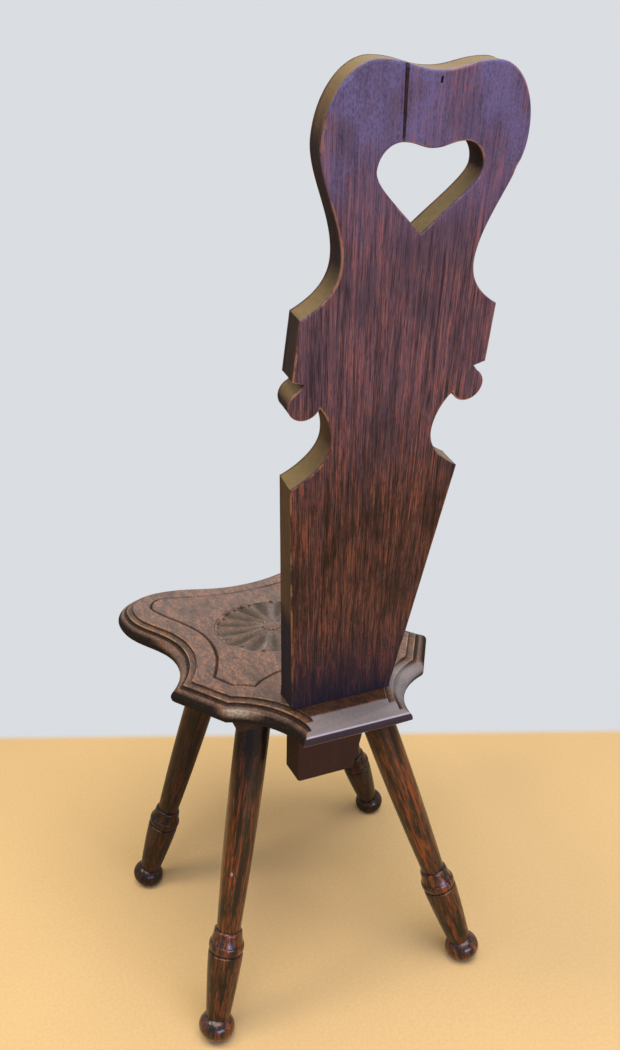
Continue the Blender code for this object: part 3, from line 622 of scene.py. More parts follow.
# Painted shade, dark violet, on the ledge's rear face, and the ledge's painted grey sheen carried on up the right-hand
# hollow
painted_rear_shade = banded_mark(
    (0.030, 0.023, 0.031), 1.0, (ALONG, REAR_CORNER.y - 0.0006, REAR_CORNER.y - 0.0002),
    (DEEP, LEDGE_EDGE - 0.0008, LEDGE_EDGE - 0.0016))
painted_hollow_sheen = banded_mark(
    (0.235, 0.205, 0.195), 0.8, (ACROSS, -0.052, -0.062), (ALONG, 0.108, 0.128),
    (DEEP, SEAT_TOP - 0.019, SEAT_TOP - 0.012))


def pale_nick(spot):
    """Bare wood where a leg is nicked, at a spot measured from its foot."""
    def mark(paint, across, along, deep):
        away = far_off(across - spot.x, (along - spot.z) * 0.7, deep - spot.y)
        return away.between(NICK_RADIUS * 0.65, NICK_RADIUS * 0.25), (0.30, 0.27, 0.24), "MIX"
    return mark


def dulled_steel(colour):
    """Old steel with a brown bloom and brushed marks."""
    material, paint = new_paint("screw_steel")
    place = paint.node("ShaderNodeTexCoord", None, None, "Object")
    bloom = paint.noise(place, 420.0, 4.0, 0.6)
    marks = paint.noise(paint.stretched(place, 0.15), 2600.0, 2.0)
    rust = bloom.between(0.48, 0.66)
    base = paint.mix(marks * 0.5, shade(colour, 0.8), shade(colour, 1.5))
    base = paint.mix(rust * 0.75, base, (0.075, 0.036, 0.018))
    bump = paint.node("ShaderNodeBump", None, {
        "Strength": 0.3, "Distance": 0.0001, "Height": bloom + marks * 0.4}, "Normal")
    shader = paint.node("ShaderNodeBsdfPrincipled", None, {
        "Base Color": base, "Metallic": 0.95 - rust * 0.6, "Roughness": 0.36 + rust * 0.35 + marks * 0.1,
        "Normal": bump}, "BSDF")
    paint.node("ShaderNodeOutputMaterial", None, {"Surface": shader})
    return material


def corner(x, y):
    """A knot where the outline turns sharply."""
    point = Vector((x, y))
    return point, point, point


def through(x, y, into, out):
    """A smooth knot with the handles that lead into it and out of it."""
    point = Vector((x, y))
    return point, point + Vector(into), point + Vector(out)


def mirrored(half):
    """The knots of one half and, back down the other side, their mirror images."""
    knots = list(half)
    for point, into, out in reversed(half):
        if point.x > 0.0:
            knots.append(tuple(Vector((-place.x, place.y)) for place in (point, out, into)))
    return knots


def run_knots(knots, pitch, closed=True):
    """Points along the knots' curves, about a pitch apart."""
    points = []
    for (start, _, out), (end, into, _) in zip(knots, knots[1:] + knots[:1] if closed else knots[1:]):
        steps = max(1, round((end - start).length / pitch))
        for step in range(steps):
            t = step / steps
            u = 1.0 - t
            points.append(start * u**3 + out * 3 * u * u * t + into * 3 * u * t * t + end * t**3)
    return points


def run_through(places, pitch):
    """Points along a smooth line through the places."""
    points = []
    for index in range(len(places) - 1):
        before = places[max(0, index - 1)]
        start, end = places[index], places[index + 1]
        after = places[min(len(places) - 1, index + 2)]
        knots = [(start, start, start + (end - before) / 6), (end, end - (after - start) / 6, end)]
        points += run_knots(knots, pitch, closed=False)
    return points + [places[-1]]


def mitres(outline):
    """How each point of a closed outline moves to its left for an offset of one."""
    moves = []
    for index, point in enumerate(outline):
        before = (point - outline[index - 1]).normalized()
        after = (outline[(index + 1) % len(outline)] - point).normalized()
        left_before = Vector((-before.y, before.x))
        left_after = Vector((-after.y, after.x))
        moves.append((left_before + left_after) / max(0.25, 1.0 + left_before.dot(left_after)))
    return moves


def inside(points, outline):
    """Which of the points lie inside a closed outline."""
    points = np.asarray(points)
    shape = np.asarray([tuple(place) for place in outline])
    result = np.zeros(len(points), dtype=bool)
    for (x0, y0), (x1, y1) in zip(shape, np.roll(shape, -1, axis=0)):
        if y0 == y1:
            continue
        spans = (points[:, 1] < y0) != (points[:, 1] < y1)
        result ^= spans & (points[:, 0] < x0 + (points[:, 1] - y0) * (x1 - x0) / (y1 - y0))
    return result


def near_tree(points):
    """A tree that finds the nearest of some flat places."""
    tree = kdtree.KDTree(len(points))
    for index, point in enumerate(points):
        tree.insert((point[0], point[1], 0.0), index)
    tree.balance()
    return tree


def grid_points(outlines, pitch, margin, clear_of=()):
    """Points of a staggered grid inside the first outline and outside the others, clear of all of them."""
    places = np.asarray([tuple(place) for place in outlines[0]])
    low, high = places.min(axis=0), places.max(axis=0)
    points = []
    for row in range(int((high[1] - low[1]) / (pitch * GRID_ROW)) + 1):
        start = low[0] + (row % 2) * pitch / 2
        for column in range(int((high[0] - start) / pitch) + 1):
            points.append((start + column * pitch, low[1] + row * pitch * GRID_ROW))
    points = np.asarray(points)
    keep = inside(points, outlines[0])
    for hole in outlines[1:]:
        keep &= ~inside(points, hole)
    trees = [(near_tree(outline), margin) for outline in outlines] + list(clear_of)
    return [
        point for point in points[keep]
        if all(tree.find((point[0], point[1], 0.0))[2] > gap for tree, gap in trees)]


def fill(shape, rings, extra, lines, holes, place):
    """Cover the area inside rings of vertices with triangles through extra points.

    rings are lists of (vertex, flat place), extra is a list of flat places, lines are pairs of extra points
    that an edge joins, holes are outlines left open, and place gives an extra point's vertex position.
    """
    flat, verts, edges = [], [], []
    for ring in rings:
        first = len(flat)
        for index, (vertex, spot) in enumerate(ring):
            flat.append(Vector(spot))
            verts.append(vertex)
            edges.append((first + index, first + (index + 1) % len(ring)))
    base = len(flat)
    flat += [Vector(spot[:2]) for spot in extra]
    verts += [None] * len(extra)
    edges += [(base + first, base + second) for first, second in lines]
    edges = [pair for pair in edges if (flat[pair[0]] - flat[pair[1]]).length > SAME_SPOT]
    spots, _, faces, sources, _, _ = delaunay_2d_cdt(flat, edges, [], 1, SAME_SPOT)
    middles = [sum((spots[index] for index in face), Vector((0.0, 0.0))) / len(face) for face in faces]
    keep = np.ones(len(faces), dtype=bool)
    for hole in holes:
        keep &= ~inside([tuple(middle) for middle in middles], hole)
    made = {}
    for face, kept in zip(faces, keep):
        if not kept:
            continue
        corners = []
        for index in face:
            if index not in made:
                source = min(sources[index]) if sources[index] else None
                vertex = verts[source] if source is not None else None
                if vertex is None:
                    vertex = shape.verts.new(place(spots[index], source - base if source is not None else None))
                made[index] = vertex
            corners.append(made[index])
        if len(set(corners)) == 3:
            shape.faces.new(corners)


def join_rings(shape, rings):
    """Join each ring of vertices to the next with four-sided faces."""
    for upper, lower in zip(rings, rings[1:]):
        for index in range(len(upper)):
            following = (index + 1) % len(upper)
            shape.faces.new((upper[index], lower[index], lower[following], upper[following]))


def as_mesh(name, shape):
    """Clean the shape and turn it into a mesh."""
    bmesh.ops.remove_doubles(shape, verts=shape.verts, dist=WELD)
    bmesh.ops.dissolve_degenerate(shape, dist=WELD, edges=shape.edges)
    bmesh.ops.recalc_face_normals(shape, faces=shape.faces)
    mesh = bpy.data.meshes.new(name)
    shape.to_mesh(mesh)
    shape.free()
    return mesh


def link(name, mesh):
    item = bpy.data.objects.new(name, mesh)
    bpy.context.scene.collection.objects.link(item)
    return item


def baked(item):
    """The object's evaluated mesh, once its modifiers are off."""
    graph = bpy.context.evaluated_depsgraph_get()
    mesh = bpy.data.meshes.new_from_object(item.evaluated_get(graph))
    item.modifiers.clear()
    old = item.data
    item.data = mesh
    if old.users == 0:
        bpy.data.meshes.remove(old)
    return mesh


def cut_away(item, cutters):
    """Cut the closed shapes out of the object's mesh."""
    for cutter in cutters:
        boolean = item.modifiers.new(cutter.name, "BOOLEAN")
        boolean.operation = "DIFFERENCE"
        boolean.solver = "EXACT"
        boolean.object = cutter
    baked(item)
    for cutter in cutters:
        mesh = cutter.data
        bpy.data.objects.remove(cutter, do_unlink=True)
        bpy.data.meshes.remove(mesh)


def solid(name, rings):
    """A closed shape through rings of places."""
    shape = bmesh.new()
    loops = [[shape.verts.new(place) for place in ring] for ring in rings]
    join_rings(shape, loops)
    shape.faces.new(loops[0])
    shape.faces.new(reversed(loops[-1]))
    return link(name, as_mesh(name, shape))


def prism(name, corners, place, depth):
    """A shape with a flat section; place turns a corner and a depth into a point."""
    return solid(name, [[place(point, side) for point in corners] for side in (-depth, depth)])


def circle(radius, height, sides):
    """Places round a level circle."""
    turns = [math.tau * step / sides for step in range(sides)]
    return [Vector((radius * math.cos(turn), radius * math.sin(turn), height)) for turn in turns]


def across_chair(point, x):
    """The place of a (y, z) corner at a distance to one side."""
    return x, point[0], point[1]


def set_attribute(mesh, name, values, kind="FLOAT"):
    if name in mesh.attributes:
        mesh.attributes.remove(mesh.attributes[name])
    layer = mesh.attributes.new(name, kind, "POINT")
    flat = np.asarray(values, dtype=np.float32).ravel()
    layer.data.foreach_set("vector" if kind == "FLOAT_VECTOR" else "value", flat)


def read_attribute(mesh, name):
    values = np.zeros(len(mesh.vertices), dtype=np.float32)
    if name in mesh.attributes:
        mesh.attributes[name].data.foreach_get("value", values)
    return values


def vectors_of(mesh, kind):
    """Each vertex's place or normal, by its Blender name."""
    values = np.zeros(len(mesh.vertices) * 3, dtype=np.float32)
    mesh.vertices.foreach_get(kind, values)
    return values.reshape(-1, 3)


def places_of(mesh):
    return vectors_of(mesh, "co")


def normals_of(mesh):
    return vectors_of(mesh, "normal")


def finish_piece(item, material, nodes):
    """Move the piece from the drawing to its place, give it its material, smooth it, parent it to the body and hide the
    model's parts that it stands for.
    """
    mesh = item.data
    mesh.transform(Matrix.Translation(SHIFT))
    mesh.materials.clear()
    mesh.materials.append(material)
    for polygon in mesh.polygons:
        polygon.material_index = 0
    mesh.shade_smooth()
    mesh.set_sharp_from_angle(angle=SHARP_ANGLE)
    mesh.update()
    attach(item, BODY)
    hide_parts(*nodes)


def leg_axis(name):
    """A leg's foot and the line up to the seat's underside."""
    (top_x, top_y), foot = LEG_PLACES[name]
    top_y = rear_batten_middle() if top_y is None else top_y
    foot = Vector((*foot, FOOT_CENTRE))
    return foot, Vector((top_x, top_y, SEAT_UNDERSIDE)) - foot


def leg_turn(axis):
    """The turn that stands a leg drawn upright on its axis."""
    return axis.to_track_quat("Z", "Y")


def rear_batten_middle():
    low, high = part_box("rear_batten")
    return (low.y + high.y) / 2 - SHIFT.y


def seat_half():
    """The seat's outline on the +X side, from the front hollow to behind the rear edge, as smooth stretches."""
    reach = Vector((LOBE.x * LONG, 0.0))
    round_x = Vector(((SIDE.x - LOBE.x) * QUARTER_ROUND, 0.0))
    round_y = Vector((0.0, (SIDE.y - LOBE.y) * QUARTER_ROUND))
    flank = Vector((0.0, (WAIST.y - SIDE.y) * LONG))
    knots = [
        (FRONT_HOLLOW, FRONT_HOLLOW, FRONT_HOLLOW + reach),
        (LOBE, LOBE - reach, LOBE + round_x),
        (SIDE, SIDE - round_y, SIDE + flank),
        (WAIST, WAIST - flank, WAIST)]
    pitch = SEAT_EDGE_PITCH
    points = run_knots(knots, pitch, closed=False)
    span = FACET_FRONT - WAIST
    points += arc(WAIST, FACET_FRONT, span.length_squared / (2 * span.x), pitch)
    points += run_knots([corner(*FACET_FRONT), corner(*FACET_REAR)], pitch, closed=False)
    points += arc(FACET_REAR, REAR_CORNER, REAR_HOLLOW_RADIUS, pitch)
    run_on = REAR_CORNER + Vector((0.0, TIER_INSET + NOSE_RADIUS))
    points += run_knots([corner(*REAR_CORNER), corner(*run_on)], pitch, closed=False) + [run_on]
    return points


def arc(start, end, radius, pitch):
    """Points along the shorter arc between two places, its centre on the right."""
    chord = end - start
    normal = Vector((chord.y, -chord.x)).normalized()
    centre = (start + end) / 2 + normal * math.sqrt(radius**2 - (chord.length / 2) ** 2)
    sweep = 2 * math.asin(chord.length / 2 / radius)
    steps = max(2, round(radius * sweep / pitch))
    first = start - centre
    return [centre + Matrix.Rotation(-sweep * step / steps, 2) @ first for step in range(steps)]


def inset_ring(outline, moves, inset):
    """The outline moved inwards, with all that would fold past a mitred corner drawn into it."""
    moved = [point + move * inset for point, move in zip(outline, moves)]
    count = len(outline)
    for index, move in enumerate(moves):
        if move.length < SHARP_MITRE:
            continue
        for way in (-1, 1):
            for step in range(1, FOLD_POINTS + 1):
                other = (index + way * step) % count
                along = (outline[other] - outline[(other - way) % count]) * way
                if (moved[other] - moved[index]).dot(along) * way >= 0.0:
                    break
                moved[other] = moved[index]
    return moved


def seat_section(arris):
    """The moulding from the top's edge down to the underside.

    Each row is (inset, height, worn share, grime and painted shade at the waist, the same elsewhere); the risers and
    quirks get grime and painted shade, and the nose painted shade on its lower half, which faces down.
    """
    inner = TIER_INSET - LEDGE_WIDTH
    ledge = SEAT_TOP - TIER_DROP
    nose_top = ledge - QUIRK_DROP
    middle = nose_top - NOSE_RADIUS
    rows = []

    def edge(inset, height):
        """Round an edge from one flat to the next."""
        for step in range(4):
            angle = math.pi / 2 * step / 3
            rows.append((
                inset + arris * (1 - math.sin(angle)), height - arris * (1 - math.cos(angle)), 0.75, 0.0, 0.0))

    def flat(inset, height, grime_and_shade):
        rows.append((inset, height, 0.0, grime_and_shade, grime_and_shade))

    flat(TIER_INSET + arris + EDGE_STRIP, SEAT_TOP, 0.0)
    edge(TIER_INSET, SEAT_TOP)
    flat(TIER_INSET, SEAT_TOP - arris - 0.0003, 0.8)
    flat(TIER_INSET, ledge + arris * 0.5, 0.95)
    flat(TIER_INSET - arris * 0.5, ledge, 0.9)
    flat(inner + LEDGE_WIDTH * 0.75, ledge, 0.50)
    flat(inner + arris + EDGE_STRIP, ledge, 0.25)
    edge(inner, ledge)
    flat(inner, ledge - arris - 0.0004, 0.9)
    flat(inner, nose_top + arris * 0.4, 1.0)
    flat(inner - arris * 0.5, nose_top, 1.0)
    # The nose: painted shade darkens it downwards, starting higher up away from the waist
    steps = 14
    for step in range(steps + 1):
        angle = math.pi / 2 - math.pi * step / steps
        grime_and_shade = [0.15 + 1.05 * min(1.0, max(0.0, (start - angle) / 0.55)) for start in (0.60, 1.30)]
        rows.append((
            NOSE_RADIUS * (1 - math.cos(angle)), middle + NOSE_RADIUS * math.sin(angle),
            0.35 * max(0.0, math.cos(angle - 0.9)) ** 4, *(grime_and_shade if step else (0.95, 0.95))))
    flat(NOSE_RADIUS + UNDERSIDE_CHAMFER, SEAT_UNDERSIDE, 0.6)
    return rows


def cut_line_rows(width, depth):
    """The V-cut line as rows of (x, y, drop) and the edges along them."""
    half = []
    for stretch in CUT_LINE:
        points = run_through([Vector(place) for place in stretch], CUT_LINE_PITCH)
        half += points[1:] if half else points
    line = half + [Vector((-point.x, point.y)) for point in reversed(half[1:-1])]
    moves = mitres(line)
    rows, edges = [], []
    for share, drop in ((-0.5, 0.0), (-0.26, 0.72), (0.0, 1.0), (0.26, 0.72), (0.5, 0.0)):
        first = len(rows)
        for index, (point, move) in enumerate(zip(line, moves)):
            spot = point + move * (width * share)
            uneven = 1.0 + 0.18 * noise.noise((point.x * 60.0, point.y * 60.0, share))
            rows.append((spot.x, spot.y, depth * drop * uneven))
            edges.append((first + index, first + (index + 1) % len(line)))
    return line, rows, edges


def petal_drop(radius, across, size, petal_depth, boss):
    """How deep the round is gouged at a radius and a share across a petal."""
    if radius <= boss:
        return BOSS_DISH * (radius / boss) ** 6
    edge = abs(2 * across - 1)
    tip = size - PETAL_TIP_ROUND * edge**3
    if radius >= tip:
        return 0.0
    moat = math.exp(-((radius - boss) / MOAT_WIDTH) ** 2) * MOAT_DEPTH
    run_out = min(1.0, (tip - radius) / PETAL_RUN_OUT)
    deep = petal_depth * (0.40 + 0.60 * min(1.0, (radius - boss) / (0.42 * size)))
    hollow = 1.0 - edge**1.5
    ridge = PETAL_RIDGE * min(1.0, (radius - boss) / 0.01)
    return moat + deep * (ridge + (1 - ridge) * hollow) * math.sqrt(max(0.0, 1 - (1 - run_out) ** 2))


def carved_round(size, petal_depth, boss):
    """The carved round as (x, y, drop), ring by ring."""
    radii = [boss * share for share in (0.35, 0.65, 0.85, 0.95)]
    radii += [boss + step for step in (0.0, 0.0006, 0.0015, 0.003)]
    radius = boss + 0.0055
    while radius < size - 0.011:
        radii.append(radius)
        radius += PETAL_RING_PITCH
    radii += [size - 0.010 + 0.00095 * step for step in range(11)]
    rim = size + RIM_OFFSET
    radii += [rim + step for step in (-0.0007, 0.0, 0.0007, 0.003)]
    angles = PETAL_ANGLES + [PETAL_ANGLES[0] + 360]
    points = [(ROUND_CENTRE.x, ROUND_CENTRE.y, 0.0)]
    for radius in radii:
        for petal, (start, end) in enumerate(zip(angles, angles[1:])):
            uneven = 1.0 + 0.22 * noise.noise((petal * 3.1, radius * 40.0, 0.5))
            for step in range(0, PETAL_STEPS, 2 if radius < 0.016 else 1):
                across = step / PETAL_STEPS
                angle = math.radians(start + (end - start) * across)
                drop = RIM_DEPTH if radius == rim else petal_drop(radius, across, size, petal_depth, boss)
                oval = 1.0 if radius > boss + 0.004 else 1.0 + 0.10 * math.cos(2 * angle)
                points.append((
                    ROUND_CENTRE.x + radius * oval * math.cos(angle),
                    ROUND_CENTRE.y + radius * oval * math.sin(angle), drop * uneven))
    return points


def punch_drop(x, y, size):
    """Small round punch marks between the petals' tips."""
    deepest = 0.0
    for index, angle in enumerate(PETAL_ANGLES):
        spin = math.radians(angle)
        far = size - PUNCH_INSET + 0.0012 * math.sin(index * 2.3)
        away = math.hypot(x - ROUND_CENTRE.x - far * math.cos(spin), y - ROUND_CENTRE.y - far * math.sin(spin))
        deepest = max(deepest, PUNCH_DEPTH * max(0.0, 1.0 - (away / PUNCH_RADIUS) ** 2))
    return deepest


def on_ridge(place, sizes):
    """Whether a place is on a ridge between two petals."""
    away = place.xy - ROUND_CENTRE
    spin = math.degrees(math.atan2(away.y, away.x))
    off = min(abs((spin - angle + 180.0) % 360.0 - 180.0) for angle in PETAL_ANGLES)
    return off < RIDGE_DEGREES and sizes.boss_radius + RIDGE_END < away.length < sizes.round_radius - RIDGE_END


def carving_shade_and_glint(place, sunk, sizes):
    """Worn shares, grime and painted shade in the carving, for a place sunk below the seat's top: grime and painted
    shade in the punch marks, petal hollows, rim and cut line, and a painted glint on the petals' ridges.
    """
    if punch_drop(place.x, place.y, sizes.round_radius) > PUNCH_SOIL_START:
        return 0.0, 1.0
    if on_ridge(place, sizes):
        return 1.0, 0.0
    if (place.xy - ROUND_CENTRE).length < sizes.round_radius - 0.0020:
        return 0.0, min(1.0, max(0.0, sunk - PETAL_SHADE_START) / PETAL_SHADE_FADE) ** 1.5 * PETAL_GRIME_AND_SHADE
    return 0.0, min(1.0, max(0.0, sunk - LINE_SHADE_START) / LINE_SHADE_FADE) * LINE_GRIME_AND_SHADE


def gleam_share(x, y):
    """How much of the grime and painted shade is kept off the nose where its coat gleams, alike on both sides."""
    away = Vector((abs(x), y)) - NOSE_GLEAM
    away -= NOSE_GLEAM_RUN * min(1.0, max(0.0, away.dot(NOSE_GLEAM_RUN) / NOSE_GLEAM_RUN.length_squared))
    return math.exp(-((away.length / NOSE_GLEAM_REACH) ** 2))


def seat_unevenness(x, y):
    """How far the hand-planed top lies above its true plane."""
    return 0.00028 * noise.noise((x * 22.0, y * 9.0, 4.0))


def make_seat_mesh(sizes):
    """The seat board before its cuts, with worn shares, grime and painted shade kept on its vertices."""
    half = seat_half()
    outline = half + [Vector((-point.x, point.y)) for point in reversed(half[1:])]
    moves = mitres(outline)
    shape = bmesh.new()
    wear = shape.verts.layers.float.new("wear")
    grime_and_shade = shape.verts.layers.float.new("soil")
    rings, flats = [], []
    for inset, height, worn, waist_grime_and_shade, soil in seat_section(sizes.moulding_arris):
        flat = inset_ring(outline, moves, inset)
        ring = []
        for point in flat:
            vertex = shape.verts.new((point.x, point.y, height))
            far = min(1.0, max(0.0, (abs(point.y - WAIST.y) - WAIST_SHADE_START) / WAIST_SHADE_FADE))
            rub = min(1.0, worn * 3.0) * gleam_share(*point)
            vertex[wear] = worn
            vertex[grime_and_shade] = (waist_grime_and_shade + (soil - waist_grime_and_shade) * far) * (1.0 - rub)
            ring.append(vertex)
        rings.append(ring)
        flats.append(flat)
    join_rings(shape, rings)
    line, extra, edges = cut_line_rows(sizes.cut_width, sizes.cut_depth)
    extra += carved_round(sizes.round_radius, sizes.petal_depth, sizes.boss_radius)
    clear_of = [
        (near_tree(line), sizes.cut_width * 0.5 + 0.0022), (near_tree([ROUND_CENTRE]), sizes.round_radius + 0.0075)]
    extra += [(x, y, 0.0) for x, y in grid_points([flats[0]], SEAT_TOP_PITCH, margin=0.0035, clear_of=clear_of)]

    def on_top(spot, source):
        drop = extra[source][2] if source is not None and source >= 0 else 0.0
        drop += punch_drop(spot.x, spot.y, sizes.round_radius)
        return spot.x, spot.y, SEAT_TOP - drop + seat_unevenness(spot.x, spot.y)

    fill(shape, [list(zip(rings[0], flats[0]))], extra, edges, [], on_top)
    under = grid_points([flats[-1]], SEAT_UNDER_PITCH, margin=0.01)
    fill(shape, [list(zip(rings[-1], flats[-1]))], under, [], [], lambda spot, _: (spot.x, spot.y, SEAT_UNDERSIDE))
    least, most = CARVING_DEPTHS
    for vertex in shape.verts:
        sunk = SEAT_TOP - vertex.co.z
        if least < sunk < most and vertex[grime_and_shade] == 0.0 and vertex[wear] == 0.0:
            vertex[wear], vertex[grime_and_shade] = carving_shade_and_glint(vertex.co, sunk, sizes)
    return as_mesh("seat_board", shape)


def slant(y, z):
    """How far up the plank's rear face a place is, and how deep in front of it."""
    return (
        (y - BACK_Y) * math.sin(RAKE) + (z - SEAT_TOP) * math.cos(RAKE),
        -(y - BACK_Y) * math.cos(RAKE) + (z - SEAT_TOP) * math.sin(RAKE))


def on_plank(x, rise, depth):
    """The place at a rise up the plank's rear face and a depth in front of it."""
    return Vector((
        x,
        BACK_Y + rise * math.sin(RAKE) - depth * math.cos(RAKE),
        SEAT_TOP + rise * math.cos(RAKE) + depth * math.sin(RAKE)))


def tenon_slope():
    """How much the tenon's half width grows for each step up."""
    return (TENON_TOP_HALF - TENON_FOOT_HALF) / (TENON_LENGTH * math.cos(RAKE))


def seat_cutters():
    """Saw cut and ledge behind the seat, the tenon's slot, the legs' sockets and the screws' holes."""
    above = SEAT_TOP + CUT_PAST
    below = SEAT_UNDERSIDE - CUT_PAST
    rear = REAR_CORNER.y
    behind = rear + CUT_BEHIND
    slope = LEDGE_DROP / LEDGE_RUN
    chamfer = rear - REAR_CHAMFER_RUN
    saw_cut = [
        (rear, above), (rear, LEDGE_EDGE - REAR_FACE_HEIGHT), (chamfer, SEAT_UNDERSIDE), (chamfer, below),
        (behind, below), (behind, above)]
    ledge_cut = [
        (rear - LEDGE_RUN - CUT_PAST / slope, above), (behind, LEDGE_EDGE - CUT_BEHIND * slope), (behind, above)]
    mortise = []
    for rise in (2 * CUT_PAST, -2 * CUT_PAST):
        ring = []
        for depth, ways in ((-CLEARANCE, (-1, 1)), (FOOT_THICKNESS + CLEARANCE, (1, -1))):
            place = on_plank(0.0, rise, depth)
            half = TENON_TOP_HALF + CLEARANCE + (place.z - SEAT_TOP) * tenon_slope()
            ring += [(TENON_OFFSET + way * half, place.y, place.z) for way in ways]
        mortise.append(ring)
    return [
        prism("rear_saw_cut", saw_cut, across_chair, CUT_ASIDE),
        prism("rear_ledge_cut", ledge_cut, across_chair, CUT_ASIDE),
        solid("mortise_cut", mortise), *(socket_cutter(name) for name in LEG_PLACES),
        *screw_cutters("rear_batten"), *screw_cutters("front_batten")]


def socket_cutter(name):
    """A leg's socket, from below the batten up to its blind end."""
    foot, axis = leg_axis(name)
    turn = leg_turn(axis)
    return solid(name + "_socket", [
        [foot + turn @ place for place in circle(SHAFT_RADIUS + CLEARANCE, height, SOCKET_SIDES)]
        for height in (axis.length - SOCKET_CUT_BELOW, axis.length + SOCKET_DEPTH + CLEARANCE)])


def screw_places(batten):
    """Where a batten's screws stand, in the drawing."""
    places = []
    for name in frame["nodes"]:
        if name.startswith(batten.split("_")[0]) and name.endswith("screw"):
            low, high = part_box(name)
            places.append(Vector(((low.x + high.x) / 2, (low.y + high.y) / 2, low.z)) - SHIFT)
    return places


def screw_cutters(batten):
    """Countersunk holes for a batten's screws."""
    bore = SCREW_SHANK + CLEARANCE
    sink = SCREW_HEAD + 2 * CLEARANCE
    steps = (
        (bore, SCREW_LENGTH + CLEARANCE), (bore, SCREW_HEAD_HEIGHT + CLEARANCE), (sink, 0.0), (sink, -SINK_CUT_BELOW))
    return [
        solid(f"{batten}_hole_{index}", [
            [place + spot for spot in circle(radius, height, HOLE_SIDES)] for radius, height in steps])
        for index, place in enumerate(screw_places(batten))]


def ear_knots():
    """The round ear below the plank's block, from its cusp to its upper end."""
    knots = []
    for index, angle in enumerate(EAR_ANGLES):
        into = angle - EAR_ANGLES[index - 1] if index else 0.0
        out = EAR_ANGLES[index + 1] - angle if index + 1 < len(EAR_ANGLES) else 0.0
        along = Vector((-math.sin(angle), math.cos(angle))) * EAR_RADIUS * 4 / 3
        spot = EAR_CENTRE + Vector((math.cos(angle), math.sin(angle))) * EAR_RADIUS
        knots.append(through(*spot, -along * math.tan(into / 4), along * math.tan(out / 4)))
    return knots


def lead(start, end, across, up):
    """A handle that leads from one place towards another, by its shares of the way across and up."""
    return Vector(((end.x - start.x) * across, (end.y - start.y) * up))


def plank_outline():
    """The plank's outline with its tenon, drawn on its rear face."""
    ears = ear_knots()
    cusp, _, cusp_out = ears[0]
    to_hollow = lead(SHOULDER, HOLLOW, 0.55, 0.23)
    from_hollow = lead(cusp, HOLLOW, 0.62, 0.28)
    to_neck = lead(BLOCK_TOP, NECK, 0.69, 0.27)
    head_lift = HEAD.y - NECK.y
    half = [
        corner(BLADE_FOOT_HALF, 0.0),
        (SHOULDER, SHOULDER, SHOULDER + to_hollow),
        through(*HOLLOW, (0.0, -(HOLLOW.y - SHOULDER.y) * EASY), (0.0, (cusp.y - HOLLOW.y) * EASY)),
        (cusp, cusp + from_hollow, cusp_out)] + ears[1:] + [
        corner(*NOTCH),
        corner(*BLOCK_FOOT),
        (BLOCK_TOP, BLOCK_TOP, BLOCK_TOP + to_neck),
        through(*NECK, (0.0, -(NECK.y - BLOCK_TOP.y) * EASY), (0.0, head_lift * 0.36)),
        through(*HEAD, (0.0, -head_lift * 0.29), (0.0, (CREST.y - HEAD.y) * QUARTER_ROUND)),
        through(*CREST, ((HEAD.x - CREST.x) * QUARTER_ROUND, 0.0), (-CREST.x * LONG, 0.0)),
        through(0.0, CREST.y - CREST_DIP, (CREST.x * EASY, 0.0), (-CREST.x * EASY, 0.0))]
    side = [
        (TENON_TOP_HALF, 0.0), (TENON_FOOT_HALF, TENON_EASE - TENON_LENGTH),
        (TENON_FOOT_HALF - TENON_EASE, -TENON_LENGTH)]
    tenon = [corner(TENON_OFFSET - x, y) for x, y in side] + [corner(TENON_OFFSET + x, y) for x, y in reversed(side)]
    return run_knots(mirrored(half) + tenon, PLANK_EDGE_PITCH)


def heart_outline():
    """The heart-shaped hand-hold, drawn so that the wood lies on its left."""
    lobe = (HEART_SIDE.x - HEART_LOBE.x) * QUARTER_ROUND
    drop = HEART_LOBE.y - HEART_SIDE.y
    side = HEART_SIDE.y - HEART_TIP
    tip = Vector((0.0, HEART_TIP))
    reach = Vector((HEART_SIDE.x * 0.60, side * 0.52))
    half = [
        through(*HEART_SIDE, (0.0, -side * 0.21), (0.0, drop * QUARTER_ROUND)),
        through(*HEART_LOBE, (lobe, 0.0), (-HEART_LOBE.x * LONG, 0.0)),
        through(0.0, HEART_LOBE.y - HEART_DIP, (HEART_LOBE.x * EASY, 0.0), (-HEART_LOBE.x * EASY, 0.0))]
    knots = mirrored(half) + [(tip, tip + Vector((-reach.x, reach.y)), tip + reach)]
    return [point + Vector((HEART_OFFSET, 0.0)) for point in reversed(run_knots(knots, HEART_PITCH))]


def plank_thickness(rise):
    """The plank's thickness at a rise, or at an array of them."""
    return FOOT_THICKNESS - (FOOT_THICKNESS - CREST_THICKNESS) * np.maximum(0.0, rise) / CREST.y


def chip(x, rise):
    """How much wider the rear arris is where the plank's edge is knocked and worn."""
    knocks = 0.0
    for spot_x, spot_rise, reach, size in KNOCKS:
        away = math.hypot(x - spot_x, rise - spot_rise) / reach
        knocks = max(knocks, size * max(0.0, 1.0 - away * away))
    return knocks + 0.0005 * max(0.0, noise.noise((x * 45.0, rise * 45.0, 7.0)))


def crack_at(rise):
    """The share of the crack below a rise, and its middle and half width there."""
    share = (rise - CRACK_FOOT[1]) / (CRACK_TOP[1] - CRACK_FOOT[1])
    middle = CRACK_FOOT[0] + (CRACK_TOP[0] - CRACK_FOOT[0]) * share
    return share, middle, CRACK_HALF_WIDTH + CRACK_WIDENING * share


